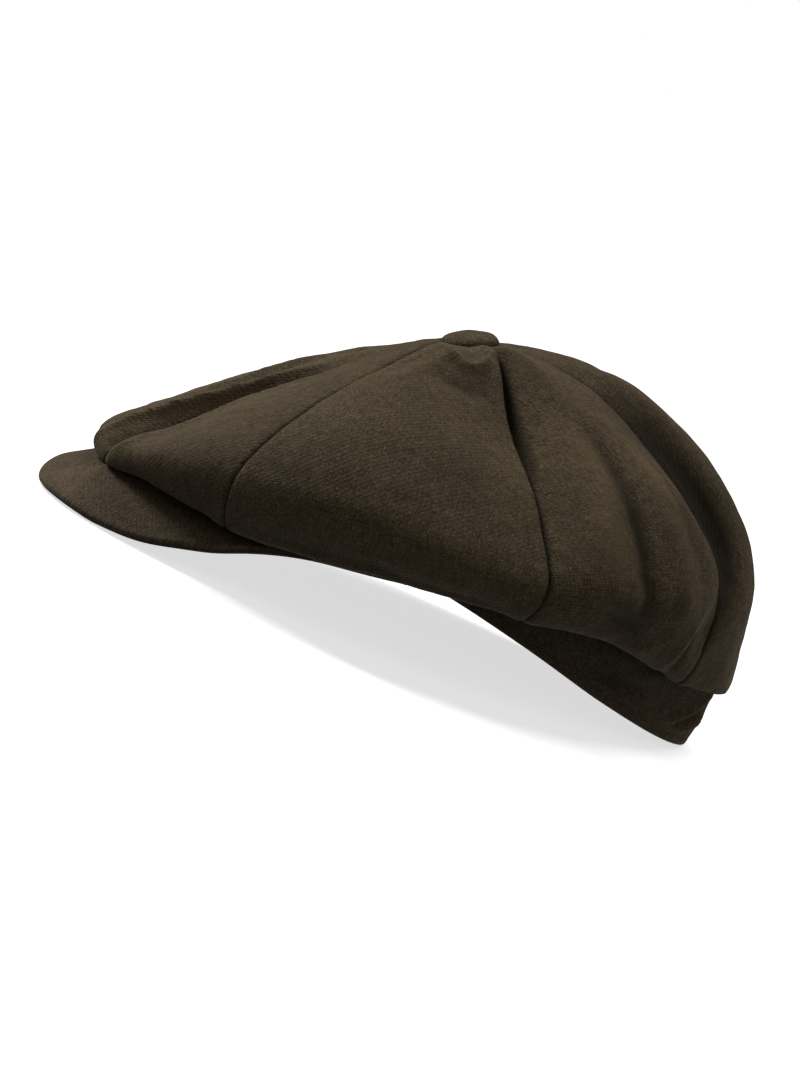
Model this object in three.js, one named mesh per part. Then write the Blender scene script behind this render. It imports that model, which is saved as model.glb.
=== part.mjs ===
// Baker boy cap, resting on the edge of its peak and the back of its band.
// Millimetres, +Z up, floor at z = 0, peak toward -Y, wearer's left toward +X.
// Shapes are worked out round the button's axis, then moved so the footprint's middle is at x = y = 0.
import * as THREE from "three";

const DEG = Math.PI / 180;

const CROWN_WALL = 1.6;
const BAND_WALL = 2.0;
const COVER_WALL = 1.3;
const GAP = 0.3;
const HALF_GAP = GAP / 2;

// Band: an oval ring, its middle behind the button's axis. It laps inside the crown's lower edge.
const BAND = { middleY: 36.7, halfLength: 104, halfWidth: 83, lap: 3, clear: 0.5 };
const BAND_SECTIONS = 96;
// By angle round the oval from the front: height of the lower edge, height of the strip, how far the
// strip's top stands out beyond its lower edge, and how far it bulges half-way up.
const BAND_ROWS = [
  { angle: 0, lower: 33.0, strip: 12, flare: 2.0, bulge: 0 },
  { angle: 45, lower: 31.5, strip: 24, flare: 2.0, bulge: 0 },
  { angle: 75, lower: 25.5, strip: 30, flare: 2.0, bulge: 0 },
  { angle: 90, lower: 20.0, strip: 32, flare: 2.1, bulge: 0.4 },
  { angle: 112, lower: 10.5, strip: 33, flare: 2.3, bulge: 1.0 },
  { angle: 135, lower: 3.4, strip: 34, flare: 2.6, bulge: 1.6 },
  { angle: 158, lower: 0.0, strip: 34, flare: 2.5, bulge: 1.6 },
  { angle: 180, lower: 0.0, strip: 34, flare: 1.0, bulge: 1.6 },
];

// The button sits on a small tilted seat that the crown panels meet in.
const SEAT = { middleZ: 105.5, tilt: 0.36, innerR: 4, outerR: 10.5, blend: 15 };
const BUTTON = { radius: 10.8, dome: 4.8, lift: 0.5, back: 2.0, underRadius: 9.6, rimHeight: 0.9 };
const BUTTON_SEGMENTS = 24;
const BUTTON_STEPS = 7;

// Crown, one row per seam: azimuth from the front toward the wearer's left, how many degrees further
// round it lies half-way down than at its ends, and its run of [radius, height] near the button,
// half-way down the top, at the shoulder, at the side and at the fold.
const SEAM_ROWS = [
  { azimuth: 0, drift: 0, run: [[25, 91], [55, 63], [88, 33], [110, 21], [109, 17]] },
  { azimuth: 41, drift: 0, run: [[26, 101], [53, 87], [93, 64], [116, 38], [108, 21]] },
  { azimuth: 97, drift: 0, run: [[26, 108], [57, 89], [104, 67], [129, 48], [122, 35]] },
  { azimuth: 140, drift: 6, run: [[26, 112.2], [61, 108.3], [107.5, 87.5], [129, 65], [127, 29]] },
  { azimuth: 180, drift: 0, run: [[26, 112.8], [62.5, 111.5], [109.5, 84.5], [132.5, 61], [146, 25]] },
  { azimuth: 220, drift: -6, run: [[26, 109.7], [60, 104], [105.5, 83.5], [126.5, 63.5], [127, 29]] },
  { azimuth: 263, drift: 0, run: [[26, 102], [56, 84], [102, 63], [125, 46], [119, 33]] },
  { azimuth: 319, drift: 0, run: [[26, 93.5], [53, 75], [88, 46], [110, 28], [106, 20]] },
];

// Shares of the run where the drift is whole, where it starts to go and where it has gone.
const DRIFT = { full: 0.4, leave: 0.6, back: 0.84 };

// Between two seams a panel swells: how far, where its crest runs across it, how bluntly it rises from
// its first seam and falls to its second (lower is blunter), and how much higher its fold hangs midway.
const PANEL_ROWS = [
  { name: "crown_panel_front_left", swell: 6, crest: 0.3, powers: [0.7, 1.1], hemLift: 4 },
  { name: "crown_panel_side_front_left", swell: 6, crest: 0.5, powers: [0.6, 0.8], hemLift: 0 },
  { name: "crown_panel_side_back_left", swell: 7, crest: 0.34, powers: [0.7, 1.5], hemLift: 4.5 },
  { name: "crown_panel_back_left", swell: 7.8, crest: 0.46, powers: [1.1, 0.8], hemLift: 0 },
  { name: "crown_panel_back_right", swell: 8, crest: 0.54, powers: [0.8, 1.1], hemLift: 0 },
  { name: "crown_panel_side_back_right", swell: 7, crest: 0.66, powers: [1.5, 0.7], hemLift: 4 },
  { name: "crown_panel_side_front_right", swell: 5, crest: 0.5, powers: [0.8, 0.6], hemLift: 0 },
  { name: "crown_panel_front_right", swell: 6.5, crest: 0.72, powers: [1.1, 0.7], hemLift: 3 },
];
const PANEL_COLUMNS = 11;
const PANEL_STEPS = 26;
// What 1 mm of swell does to the panel at each station: outward and upward.
const SWELL_ROWS = [
  { out: 0.02, up: 0.1 },
  { out: 0.25, up: 0.6 },
  { out: 0.4, up: 0.9 },
  { out: 0.35, up: 0.3 },
  { out: 0.15, up: -0.05 },
];

// Soft folds of the near side: azimuth and station where the fold peaks, its half width in degrees, its
// half length in stations, its height and how far it leans per station. The far side has them too.
const FOLD_ROWS = [
  { azimuth: 13, station: 4.0, halfWidth: 5, halfLength: 1.6, height: 1.8, lean: -4 },
  { azimuth: 3, station: 4.0, halfWidth: 3.5, halfLength: 1.4, height: -3.0, lean: -3 },
  { azimuth: 106.5, station: 4.5, halfWidth: 4, halfLength: 1.1, height: 2.4, lean: -2 },
  { azimuth: 113.5, station: 4.4, halfWidth: 3.5, halfLength: 1.1, height: -2.6, lean: -1.5 },
  { azimuth: 120, station: 4.4, halfWidth: 4, halfLength: 1.1, height: 2.0, lean: -1 },
  { azimuth: 141, station: 4.4, halfWidth: 7, halfLength: 1.1, height: -3.5, lean: 0 },
];
const FAR_SIDE_SHARE = 0.8;

// Peak: an arc fuller than an ellipse, and the height of its lower edge by turn from its tip.
const PEAK = {
  tipY: -125.4,
  depth: 112,
  halfWidth: 83,
  fullness: 0.02,
  rootAngle: 69,
  rootLift: 1.2,
  camber: 2.5,
};
const PEAK_ROWS = [
  { turn: -90, edge: 27.0 },
  { turn: -67, edge: 21.5 },
  { turn: -52, edge: 13.5 },
  { turn: -38, edge: 6.8 },
  { turn: -25, edge: 2.6 },
  { turn: -10, edge: 0.2 },
  { turn: 0, edge: 0 },
  { turn: 25, edge: 0 },
  { turn: 38, edge: 1.8 },
  { turn: 52, edge: 9.0 },
  { turn: 67, edge: 19.5 },
  { turn: 90, edge: 26.5 },
];
const PEAK_COLUMNS = 28;
const PEAK_STEPS = 5;

const cloth = (name, color, roughness) =>
  new THREE.MeshStandardMaterial({ name, color, roughness, metalness: 0 });
const CROWN_CLOTH = cloth("olive_brown_cloth", 0x393025, 0.85);
const BAND_CLOTH = cloth("olive_brown_band_cloth", 0x352c20, 0.85);
const PEAK_CLOTH = cloth("olive_brown_peak_cloth", 0x3a3125, 0.82);

// Smooth curve through (times, values), both ends free.
function smooth(times, values, t) {
  const last = times.length - 1;
  let i = 0;
  while (i < last - 1 && t >= times[i + 1]) {
    i += 1;
  }
  const slope = (k) => (values[k + 1] - values[k]) / (times[k + 1] - times[k]);
  const tangent = (k) => {
    if (k === 0) return slope(0);
    if (k === last) return slope(last - 1);
    const before = times[k] - times[k - 1];
    const after = times[k + 1] - times[k];
    return (slope(k - 1) * after + slope(k) * before) / (before + after);
  };
  const h = times[i + 1] - times[i];
  const x = (t - times[i]) / h;
  const a = 2 * x ** 3 - 3 * x ** 2 + 1;
  const b = x ** 3 - 2 * x ** 2 + x;
  const c = 3 * x ** 2 - 2 * x ** 3;
  const d = x ** 3 - x ** 2;
  return a * values[i] + b * h * tangent(i) + c * values[i + 1] + d * h * tangent(i + 1);
}

// A full turn of rows, carried on past both ends so the curve closes smoothly.
function closedCurve(angles, values) {
  const turns = [-360, 0, 360];
  const times = turns.flatMap((turn) => angles.map((angle) => angle + turn));
  const repeated = turns.flatMap(() => values);
  return (angle) => smooth(times, repeated, ((angle % 360) + 360) % 360);
}

// Rows from the front to the back of one side, the same on the other side.
function mirroredCurve(rows, column) {
  const back = rows.slice(1, -1).reverse();
  const angles = rows.map((row) => row.angle).concat(back.map((row) => 360 - row.angle));
  const values = rows.map((row) => row[column]).concat(back.map((row) => row[column]));
  return closedCurve(angles, values);
}

const bandStrip = mirroredCurve(BAND_ROWS, "strip");
const bandFlare = mirroredCurve(BAND_ROWS, "flare");
const bandBulge = mirroredCurve(BAND_ROWS, "bulge");
const bandLowerCurve = mirroredCurve(BAND_ROWS, "lower");
const bandLower = (angle) => Math.max(0, bandLowerCurve(angle));

const seamAngles = SEAM_ROWS.map((row) => row.azimuth);
const seamCurve = (read) => closedCurve(seamAngles, SEAM_ROWS.map(read));
const seamDrift = seamCurve((row) => row.drift);
const STATIONS = SWELL_ROWS.map(({ out, up }, number) => ({
  out,
  up,
  radius: seamCurve((row) => row.run[number][0]),
  height: seamCurve((row) => row.run[number][1]),
}));

const FAR_FOLDS = FOLD_ROWS.map((fold) => ({
  ...fold,
  azimuth: 360 - fold.azimuth,
  lean: -fold.lean,
  height: FAR_SIDE_SHARE * fold.height,
}));
const ALL_FOLDS = FOLD_ROWS.concat(FAR_FOLDS);

// Azimuths of a panel's two seams.
function panelSpan(panel) {
  const from = SEAM_ROWS[panel].azimuth;
  const to = panel + 1 < SEAM_ROWS.length ? SEAM_ROWS[panel + 1].azimuth : 360;
  return { from, to };
}

function panelShare(panel, azimuth) {
  const { from, to } = panelSpan(panel);
  return THREE.MathUtils.clamp((azimuth - from) / (to - from), 0, 1);
}

function ovalPoint(angle, grow) {
  return {
    x: (BAND.halfWidth + grow) * Math.sin(angle * DEG),
    y: BAND.middleY - (BAND.halfLength + grow) * Math.cos(angle * DEG),
  };
}

// Where a ray from the button's axis meets the oval: its radius, and the angle round the oval.
function ovalAt(azimuth, grow) {
  const a = BAND.halfLength + grow;
  const b = BAND.halfWidth + grow;
  const dx = Math.sin(azimuth * DEG);
  const dy = -Math.cos(azimuth * DEG);
  const p = (dx / b) ** 2 + (dy / a) ** 2;
  const q = (-2 * dy * BAND.middleY) / a ** 2;
  const s = (BAND.middleY / a) ** 2 - 1;
  const radius = (-q + Math.sqrt(q * q - 4 * p * s)) / (2 * p);
  const angle = Math.atan2((radius * dx) / b, -(radius * dy - BAND.middleY) / a) / DEG;
  return { radius, angle };
}

// Where the crown is sewn to the band: radius from the button's axis, and height.
function crownHem(azimuth) {
  const flare = bandFlare(ovalAt(azimuth, 0).angle);
  const { radius, angle } = ovalAt(azimuth, BAND.clear + flare);
  return { r: radius, z: bandLower(angle) + bandStrip(angle) - BAND.lap };
}

// Swell of the panel at an azimuth: nothing on the seams, most along the crest.
function swellAt(panel, azimuth) {
  const across = panelShare(panel, azimuth);
  const { swell, crest, powers } = PANEL_ROWS[panel];
  const rising = across < crest;
  const share = rising ? across / crest : (1 - across) / (1 - crest);
  const wave = Math.max(0, Math.sin((Math.PI / 2) * share));
  return swell * wave ** (rising ? powers[0] : powers[1]);
}

// The panel's run from the button's seat over the shoulder, round the fold and in to the band.
function meridian(panel, azimuth) {
  const swell = swellAt(panel, azimuth);
  const lean = SEAT.tilt * Math.cos(azimuth * DEG);
  const knots = [SEAT.innerR, SEAT.outerR].map((r) => ({ r, z: SEAT.middleZ - lean * r }));
  for (const station of STATIONS) {
    knots.push({
      r: station.radius(azimuth) + station.out * swell,
      z: station.height(azimuth) + station.up * swell,
    });
  }
  const fold = knots[knots.length - 1];
  fold.z += PANEL_ROWS[panel].hemLift * Math.sin(Math.PI * panelShare(panel, azimuth));
  const hem = crownHem(azimuth);
  const tuck = -1 + Math.cos(azimuth * DEG);
  knots.push({ r: (fold.r + hem.r) / 2, z: (fold.z + hem.z) / 2 + tuck });
  knots.push(hem);
  const times = [0];
  for (let i = 1; i < knots.length; i += 1) {
    const chord = Math.hypot(knots[i].r - knots[i - 1].r, knots[i].z - knots[i - 1].z);
    times.push(times[i - 1] + Math.sqrt(chord));
  }
  return { knots, times };
}

// Height of the soft folds at an azimuth and a station number along the run.
function foldHeight(azimuth, station) {
  let height = 0;
  for (const fold of ALL_FOLDS) {
    const middle = fold.azimuth + fold.lean * (station - fold.station);
    const aside = (azimuth - middle) / fold.halfWidth;
    const along = (station - fold.station) / fold.halfLength;
    height += fold.height * Math.exp(-(aside ** 2) - along ** 2);
  }
  return height;
}

// Direction of the run at a share of its way, as an angle round the button's axis. It drifts and comes
// back above the fold.
function turnAt(azimuth, share) {
  const { smoothstep } = THREE.MathUtils;
  const drifted = smoothstep(share, 0, DRIFT.full) * (1 - smoothstep(share, DRIFT.leave, DRIFT.back));
  return (azimuth + seamDrift(azimuth) * drifted) * DEG;
}

function bareCrownPoint(panel, azimuth, share) {
  const { knots, times } = meridian(panel, azimuth);
  const t = share * times[times.length - 1];
  const radius = smooth(times, knots.map((knot) => knot.r), t);
  const height = smooth(times, knots.map((knot) => knot.z), t);
  const turn = turnAt(azimuth, share);
  return new THREE.Vector3(radius * Math.sin(turn), -radius * Math.cos(turn), height);
}

// Station number reached at a share of the run: 0 at the seat's middle, 2 near, 6 at the fold.
function stationAt(panel, azimuth, share) {
  const { times } = meridian(panel, azimuth);
  const t = share * times[times.length - 1];
  const i = Math.max(0, times.findLastIndex((time, k) => k < times.length - 1 && time <= t));
  return i + (t - times[i]) / (times[i + 1] - times[i]);
}

// Level direction across the run, toward higher azimuths.
function asideAt(azimuth, share) {
  const turn = turnAt(azimuth, share);
  return new THREE.Vector3(Math.cos(turn), Math.sin(turn), 0);
}

// Outward direction of the crown. On the seams and near the button it leans neither way round.
function crownNormal(panel, azimuth, share, onSeam) {
  const step = 0.01;
  const down = bareCrownPoint(panel, azimuth, Math.min(1, share + step));
  down.sub(bareCrownPoint(panel, azimuth, Math.max(0, share - step)));
  const across = bareCrownPoint(panel, azimuth + 1, share);
  across.sub(bareCrownPoint(panel, azimuth - 1, share));
  const aside = asideAt(azimuth, share);
  const point = bareCrownPoint(panel, azimuth, share);
  const beyond = (Math.hypot(point.x, point.y) - SEAT.outerR) / SEAT.blend;
  const upright = onSeam ? 1 : THREE.MathUtils.clamp(1 - beyond, 0, 1);
  const free = down.clone().cross(across).normalize();
  return free.lerp(down.cross(aside).normalize(), upright).normalize();
}

// Outer face of the crown with its folds, and the same face moved in by a depth.
function crownPoint(panel, azimuth, share, depth, onSeam) {
  const height = onSeam ? 0 : foldHeight(azimuth, stationAt(panel, azimuth, share));
  const normal = crownNormal(panel, azimuth, share, onSeam);
  return bareCrownPoint(panel, azimuth, share).addScaledVector(normal, height - depth);
}

// A closed body between two point grids of the same size. Rows run along u, columns along v, and
// the outer grid's faces look outward when u x v points out of the body.
function shellBetween(outer, inner) {
  const rows = outer.length;
  const columns = outer[0].length;
  const positions = [outer, inner].flat(2).flatMap((point) => [point.x, point.y, point.z]);
  const indices = [];
  const top = (i, j) => i * columns + j;
  const under = (i, j) => rows * columns + i * columns + j;
  const quad = (a, b, c, d) => indices.push(a, b, c, a, c, d);
  for (let i = 0; i < rows - 1; i += 1) {
    for (let j = 0; j < columns - 1; j += 1) {
      quad(top(i, j), top(i + 1, j), top(i + 1, j + 1), top(i, j + 1));
      quad(under(i, j), under(i, j + 1), under(i + 1, j + 1), under(i + 1, j));
    }
  }
  for (let j = 0; j < columns - 1; j += 1) {
    quad(top(0, j), top(0, j + 1), under(0, j + 1), under(0, j));
    quad(top(rows - 1, j + 1), top(rows - 1, j), under(rows - 1, j), under(rows - 1, j + 1));
  }
  for (let i = 0; i < rows - 1; i += 1) {
    quad(top(i + 1, 0), top(i, 0), under(i, 0), under(i + 1, 0));
    quad(top(i, columns - 1), top(i + 1, columns - 1), under(i + 1, columns - 1), under(i, columns - 1));
  }
  return geometryOf(positions, indices);
}

// A closed ring swept round: every section is the same loop of corners, counted anticlockwise when
// seen with the sweep coming toward the viewer.
function ringOf(sections) {
  const count = sections.length;
  const corners = sections[0].length;
  const positions = sections.flat().flatMap((point) => [point.x, point.y, point.z]);
  const indices = [];
  for (let i = 0; i < count; i += 1) {
    const next = (i + 1) % count;
    for (let k = 0; k < corners; k += 1) {
      const turn = (k + 1) % corners;
      const a = i * corners + k;
      const b = i * corners + turn;
      const c = next * corners + turn;
      const d = next * corners + k;
      indices.push(a, b, c, a, c, d);
    }
  }
  return geometryOf(positions, indices);
}

function geometryOf(positions, indices) {
  const geometry = new THREE.BufferGeometry();
  geometry.setAttribute("position", new THREE.Float32BufferAttribute(positions, 3));
  geometry.setIndex(indices);
  if (volumeOf(geometry) < 0) {
    geometry.setIndex(indices.reverse());
  }
  geometry.computeVertexNormals();
  return geometry;
}

function volumeOf(geometry) {
  const position = geometry.getAttribute("position");
  const index = geometry.getIndex();
  const corner = (k) => new THREE.Vector3().fromBufferAttribute(position, index.getX(k));
  let volume = 0;
  for (let k = 0; k < index.count; k += 3) {
    volume += corner(k).dot(corner(k + 1).cross(corner(k + 2))) / 6;
  }
  return volume;
}

function meshOf(name, geometry, material) {
  const mesh = new THREE.Mesh(geometry, material);
  mesh.name = name;
  return mesh;
}

// A grid of points: rows 0 to steps, columns 0 to columns.
function gridOf(steps, columns, pointAt) {
  const numbers = (count) => Array.from({ length: count + 1 }, (_, i) => i);
  return numbers(steps).map((i) => numbers(columns).map((j) => pointAt(i / steps, j / columns)));
}

function crownPanel(panel) {
  const { from, to } = panelSpan(panel);
  const faceAt = (depth) =>
    gridOf(PANEL_STEPS, PANEL_COLUMNS, (share, across) => {
      const azimuth = from + (to - from) * across;
      const onSeam = across === 0 || across === 1;
      const point = crownPoint(panel, azimuth, share, depth, onSeam);
      const side = across === 0 ? HALF_GAP : -HALF_GAP;
      return onSeam ? point.addScaledVector(asideAt(azimuth, share), side) : point;
    });
  return meshOf(PANEL_ROWS[panel].name, shellBetween(faceAt(0), faceAt(CROWN_WALL)), CROWN_CLOTH);
}

function band() {
  const sections = [];
  for (let i = 0; i < BAND_SECTIONS; i += 1) {
    const angle = (360 * i) / BAND_SECTIONS;
    const corner = (share, depth) => {
      const grow = bandFlare(angle) * share + bandBulge(angle) * Math.sin(Math.PI * share) - depth;
      const { x, y } = ovalPoint(angle, grow);
      return new THREE.Vector3(x, y, bandLower(angle) + bandStrip(angle) * share);
    };
    const inside = [0, 0.5, 1].map((share) => corner(share, BAND_WALL));
    const outside = [0, 0.5, 1].map((share) => corner(share, 0));
    sections.push([...outside, ...inside.reverse()]);
  }
  return meshOf("band", ringOf(sections), BAND_CLOTH);
}

const peakTurns = PEAK_ROWS.map((row) => row.turn);
const peakEdges = PEAK_ROWS.map((row) => row.edge);

// Lower face of the peak: side runs from -1 to 1 across it, reach from 0 at the band to 1 at its edge.
function peakPoint(side, reach) {
  const root = ovalPoint(PEAK.rootAngle * side, BAND.clear);
  const rootZ = bandLower(PEAK.rootAngle * side) + PEAK.rootLift;
  const turn = 90 * side;
  const full = 1 + PEAK.fullness * Math.sin(2 * turn * DEG) ** 2;
  const edgeX = PEAK.halfWidth * full * Math.sin(turn * DEG);
  const edgeY = PEAK.tipY + PEAK.depth * (1 - full * Math.cos(turn * DEG));
  const edgeZ = Math.max(0, smooth(peakTurns, peakEdges, turn));
  const camber = PEAK.camber * Math.sin(Math.PI * reach) * Math.cos(turn * DEG);
  return new THREE.Vector3(
    root.x + (edgeX - root.x) * reach,
    root.y + (edgeY - root.y) * reach,
    rootZ + (edgeZ - rootZ) * reach + camber,
  );
}

function peakLayer(side, reach, height) {
  const step = 0.01;
  const along = peakPoint(side + step, reach).sub(peakPoint(side - step, reach));
  const out = peakPoint(side, Math.min(1, reach + step)).sub(peakPoint(side, Math.max(0, reach - step)));
  const normal = out.cross(along).normalize();
  return peakPoint(side, reach).addScaledVector(normal, height);
}

// One cover of the peak, between two heights over its lower face.
function peakCover(name, from, to) {
  const faceAt = (height) =>
    gridOf(PEAK_STEPS, PEAK_COLUMNS, (reach, across) => peakLayer(2 * across - 1, reach, height));
  return meshOf(name, shellBetween(faceAt(to), faceAt(from)), PEAK_CLOTH);
}

// Covered button: a low dome with a rounded edge, tilted with its seat.
function button() {
  const { radius, dome, lift, back, underRadius, rimHeight } = BUTTON;
  const profile = [new THREE.Vector2(0, 0), new THREE.Vector2(underRadius, 0)];
  for (let i = 0; i < BUTTON_STEPS; i += 1) {
    const turn = (i / BUTTON_STEPS) * 90 * DEG;
    const height = rimHeight + (dome - rimHeight) * Math.sin(turn);
    profile.push(new THREE.Vector2(radius * Math.cos(turn), height));
  }
  profile.push(new THREE.Vector2(0, dome));
  const geometry = new THREE.LatheGeometry(profile, BUTTON_SEGMENTS);
  geometry.rotateX(Math.PI / 2);
  geometry.rotateX(Math.atan(SEAT.tilt));
  geometry.translate(0, back, SEAT.middleZ + SEAT.tilt * back + lift);
  return meshOf("button", geometry, CROWN_CLOTH);
}

const cap = new THREE.Group();
cap.name = "baker_boy_cap";
PANEL_ROWS.forEach((row, panel) => cap.add(crownPanel(panel)));
cap.add(band());
cap.add(peakCover("peak_under", 0, COVER_WALL));
cap.add(peakCover("peak_top", COVER_WALL + GAP, 2 * COVER_WALL + GAP));
cap.add(button());

const bounds = new THREE.Box3().setFromObject(cap);
const middle = bounds.getCenter(new THREE.Vector3());
cap.children.forEach((mesh) => mesh.geometry.translate(-middle.x, -middle.y, -bounds.min.z));
cap.userData.buttonAxis = { x: -middle.x, y: -middle.y };

export default cap;
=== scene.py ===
"""A baker boy cap in dark woven cloth: eight crown panels, a band, a soft peak and a covered button.

Metres, +Z up, floor at z = 0, peak toward -Y and the wearer's left toward +X. The tables of the form are
in millimetres and degrees, and positions become metres when they are put on a mesh.
"""

from __future__ import annotations

import logging
import math
from dataclasses import dataclass, field
from enum import Enum
from typing import Callable, Iterable, Sequence

import bpy
import numpy as np
from mathutils import Matrix, Vector

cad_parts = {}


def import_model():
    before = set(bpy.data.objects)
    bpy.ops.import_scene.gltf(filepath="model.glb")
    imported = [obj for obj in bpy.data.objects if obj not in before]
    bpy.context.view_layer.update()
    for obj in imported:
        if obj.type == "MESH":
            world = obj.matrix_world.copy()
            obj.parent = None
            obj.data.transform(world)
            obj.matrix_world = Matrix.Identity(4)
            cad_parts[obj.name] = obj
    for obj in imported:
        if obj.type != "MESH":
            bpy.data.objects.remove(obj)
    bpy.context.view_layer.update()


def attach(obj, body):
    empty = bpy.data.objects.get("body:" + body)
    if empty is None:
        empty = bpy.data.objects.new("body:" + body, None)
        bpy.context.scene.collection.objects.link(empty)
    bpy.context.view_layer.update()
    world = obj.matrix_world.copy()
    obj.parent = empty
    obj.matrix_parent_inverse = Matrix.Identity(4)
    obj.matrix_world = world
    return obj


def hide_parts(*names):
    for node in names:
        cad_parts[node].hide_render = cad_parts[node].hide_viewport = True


LOG = logging.getLogger("baker_boy_cap")
MM = 0.001
BUTTON_AXIS = np.array([-2.220, -9.510])
WEAVE_MAP = "weave"
TONE_MAP = "tone"
TINY = 1e-12
PER_DEGREE = math.pi / 180.0

Array = np.ndarray


# Curves and relief


def smooth_curve(times: Array, values: Array, at: Array) -> Array:
    """Smooth curve through (time, value) rows, with both ends free.

    Args:
        times: rising times of the rows.
        values: value at each time.
        at: times to read the curve at.

    Returns:
        The curve's values at those times.
    """
    step = np.diff(times)
    slope = np.diff(values) / step
    tangent = np.empty(len(times))
    tangent[0], tangent[-1] = slope[0], slope[-1]
    tangent[1:-1] = (slope[:-1] * step[1:] + slope[1:] * step[:-1]) / (step[:-1] + step[1:])
    i = np.clip(np.searchsorted(times, at, side="right") - 1, 0, len(step) - 1)
    x = (at - times[i]) / step[i]
    start = (2 * x**3 - 3 * x**2 + 1) * values[i] + (x**3 - 2 * x**2 + x) * step[i] * tangent[i]
    end = (3 * x**2 - 2 * x**3) * values[i + 1] + (x**3 - x**2) * step[i] * tangent[i + 1]
    return start + end


def closed_curve(angles: Sequence[float], values: Sequence[float], at: Array) -> Array:
    """Smooth curve round a full turn.

    Args:
        angles: degrees of the rows, from 0 up to less than 360.
        values: value at each angle.
        at: degrees to read the curve at.

    Returns:
        The curve's values at those angles.
    """
    turns = np.concatenate([np.asarray(angles, float) + turn for turn in (-360.0, 0.0, 360.0)])
    return smooth_curve(turns, np.tile(np.asarray(values, float), 3), np.asarray(at, float) % 360.0)


def ease(low: float, high: float, at: Array) -> Array:
    """Rises smoothly from 0 at low to 1 at high."""
    x = np.clip((at - low) / (high - low), 0.0, 1.0)
    return x * x * (3.0 - 2.0 * x)


def unit(directions: Array) -> Array:
    """The same directions with length 1, or 0 where they have none."""
    return directions / (np.linalg.norm(directions, axis=-1, keepdims=True) + TINY)


def ripples(points: Array, wavelength: float, seed: int, waves: int = 9) -> Array:
    """Uneven ripples through space, about -1 to 1, the same on every piece that passes a point.

    Args:
        points: positions in millimetres, one row each.
        wavelength: usual distance between crests, in millimetres.
        seed: which set of ripples.
        waves: how many plain waves are added up.

    Returns:
        One height for each position.
    """
    random = np.random.default_rng(seed)
    total = np.zeros(points.shape[:-1])
    for _ in range(waves):
        direction = random.normal(size=3)
        direction /= np.linalg.norm(direction)
        length = wavelength * random.uniform(0.6, 1.6)
        phase = random.uniform(0.0, 2.0 * math.pi)
        total += np.sin(points @ direction * (2.0 * math.pi / length) + phase)
    return total / math.sqrt(waves)


@dataclass(frozen=True)
class Fold:
    """A fold or hollow along a line on a piece.

    Attributes:
        line: (angle, place, height) rows along it. The angle is in degrees round the piece, and the place
            is a station down a crown panel or a height on the band. The height is in millimetres.
        low: how far it spreads toward lower angles, in millimetres.
        high: how far it spreads toward higher angles, in millimetres.
        crisp: 2 for a round top, 1 for a sharp one.
    """

    line: tuple[tuple[float, float, float], ...]
    low: float
    high: float
    crisp: float = 2.0

    def mirrored(self, share: float = 1.0) -> "Fold":
        """The same fold on the wearer's other side, with its height times a share."""
        line = tuple((360.0 - angle, place, share * height) for angle, place, height in self.line)
        return Fold(line, self.high, self.low, self.crisp)

    def height(self, angle: Array, along: Array, per_degree: Array, places: Sequence[float]) -> Array:
        """Height of the fold at points of the piece.

        Args:
            angle: degrees round the piece.
            along: millimetres along the piece.
            per_degree: millimetres that one degree is at each point.
            places: the line's places in millimetres along the piece.

        Returns:
            Millimetres that the fold lifts each point by.
        """
        best = np.full(angle.shape, np.inf)
        side = np.zeros(angle.shape)
        lift = np.zeros(angle.shape)
        rows = list(zip(self.line, places))
        for (row, place), (next_row, next_place) in zip(rows, rows[1:]):
            across = (angle - row[0]) * per_degree
            down = along - place
            run_across = (next_row[0] - row[0]) * per_degree
            run_down = next_place - place
            length = run_across**2 + run_down**2 + TINY
            share = np.clip((across * run_across + down * run_down) / length, 0.0, 1.0)
            off_across = across - share * run_across
            off_down = down - share * run_down
            distance = np.hypot(off_across, off_down)
            nearer = distance < best
            best = np.where(nearer, distance, best)
            turn = across * run_down - down * run_across
            side = np.where(nearer, np.sign(turn), side)
            lift = np.where(nearer, row[2] + share * (next_row[2] - row[2]), lift)
        width = np.where(side >= 0.0, self.high, self.low)
        return lift * np.exp(-((best / width) ** self.crisp))


# Mesh work


def pick(obj: bpy.types.Object) -> None:
    """Leaves one object alone selected and active.

    Args:
        obj: the object.
    """
    bpy.ops.object.select_all(action="DESELECT")
    obj.select_set(True)
    bpy.context.view_layer.objects.active = obj


def coordinates(obj: bpy.types.Object) -> Array:
    """Positions of a mesh's vertices.

    Args:
        obj: the object.

    Returns:
        One row for each vertex.
    """
    flat = np.empty(len(obj.data.vertices) * 3)
    obj.data.vertices.foreach_get("co", flat)
    return flat.reshape(-1, 3)


def place_vertices(obj: bpy.types.Object, points: Array) -> None:
    """Puts every vertex at its point, given in millimetres."""
    obj.data.vertices.foreach_set("co", (points * MM).astype(np.float32).reshape(-1))
    obj.data.update()


def write_weave(obj: bpy.types.Object, flat: Array, full_turn: float = 0.0) -> None:
    """Lays the cloth's own flat coordinates on the mesh.

    Args:
        obj: the piece.
        flat: (across, along) of each vertex on the flat cloth, in millimetres.
        full_turn: millimetres across after which the cloth comes back to its start, or 0.
    """
    mesh = obj.data
    while mesh.uv_layers:
        mesh.uv_layers.remove(mesh.uv_layers[0])
    layer = mesh.uv_layers.new(name=WEAVE_MAP)
    corner = np.empty(len(mesh.loops), np.int64)
    mesh.loops.foreach_get("vertex_index", corner)
    values = flat[corner].copy()
    if full_turn:
        starts = np.empty(len(mesh.polygons), np.int64)
        mesh.polygons.foreach_get("loop_start", starts)
        first = np.repeat(starts, np.diff(np.append(starts, len(corner))))
        jump = values[first, 0] - values[:, 0]
        values[:, 0] += full_turn * np.round(jump / full_turn)
    layer.data.foreach_set("uv", (values * MM).astype(np.float32).reshape(-1))


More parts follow.
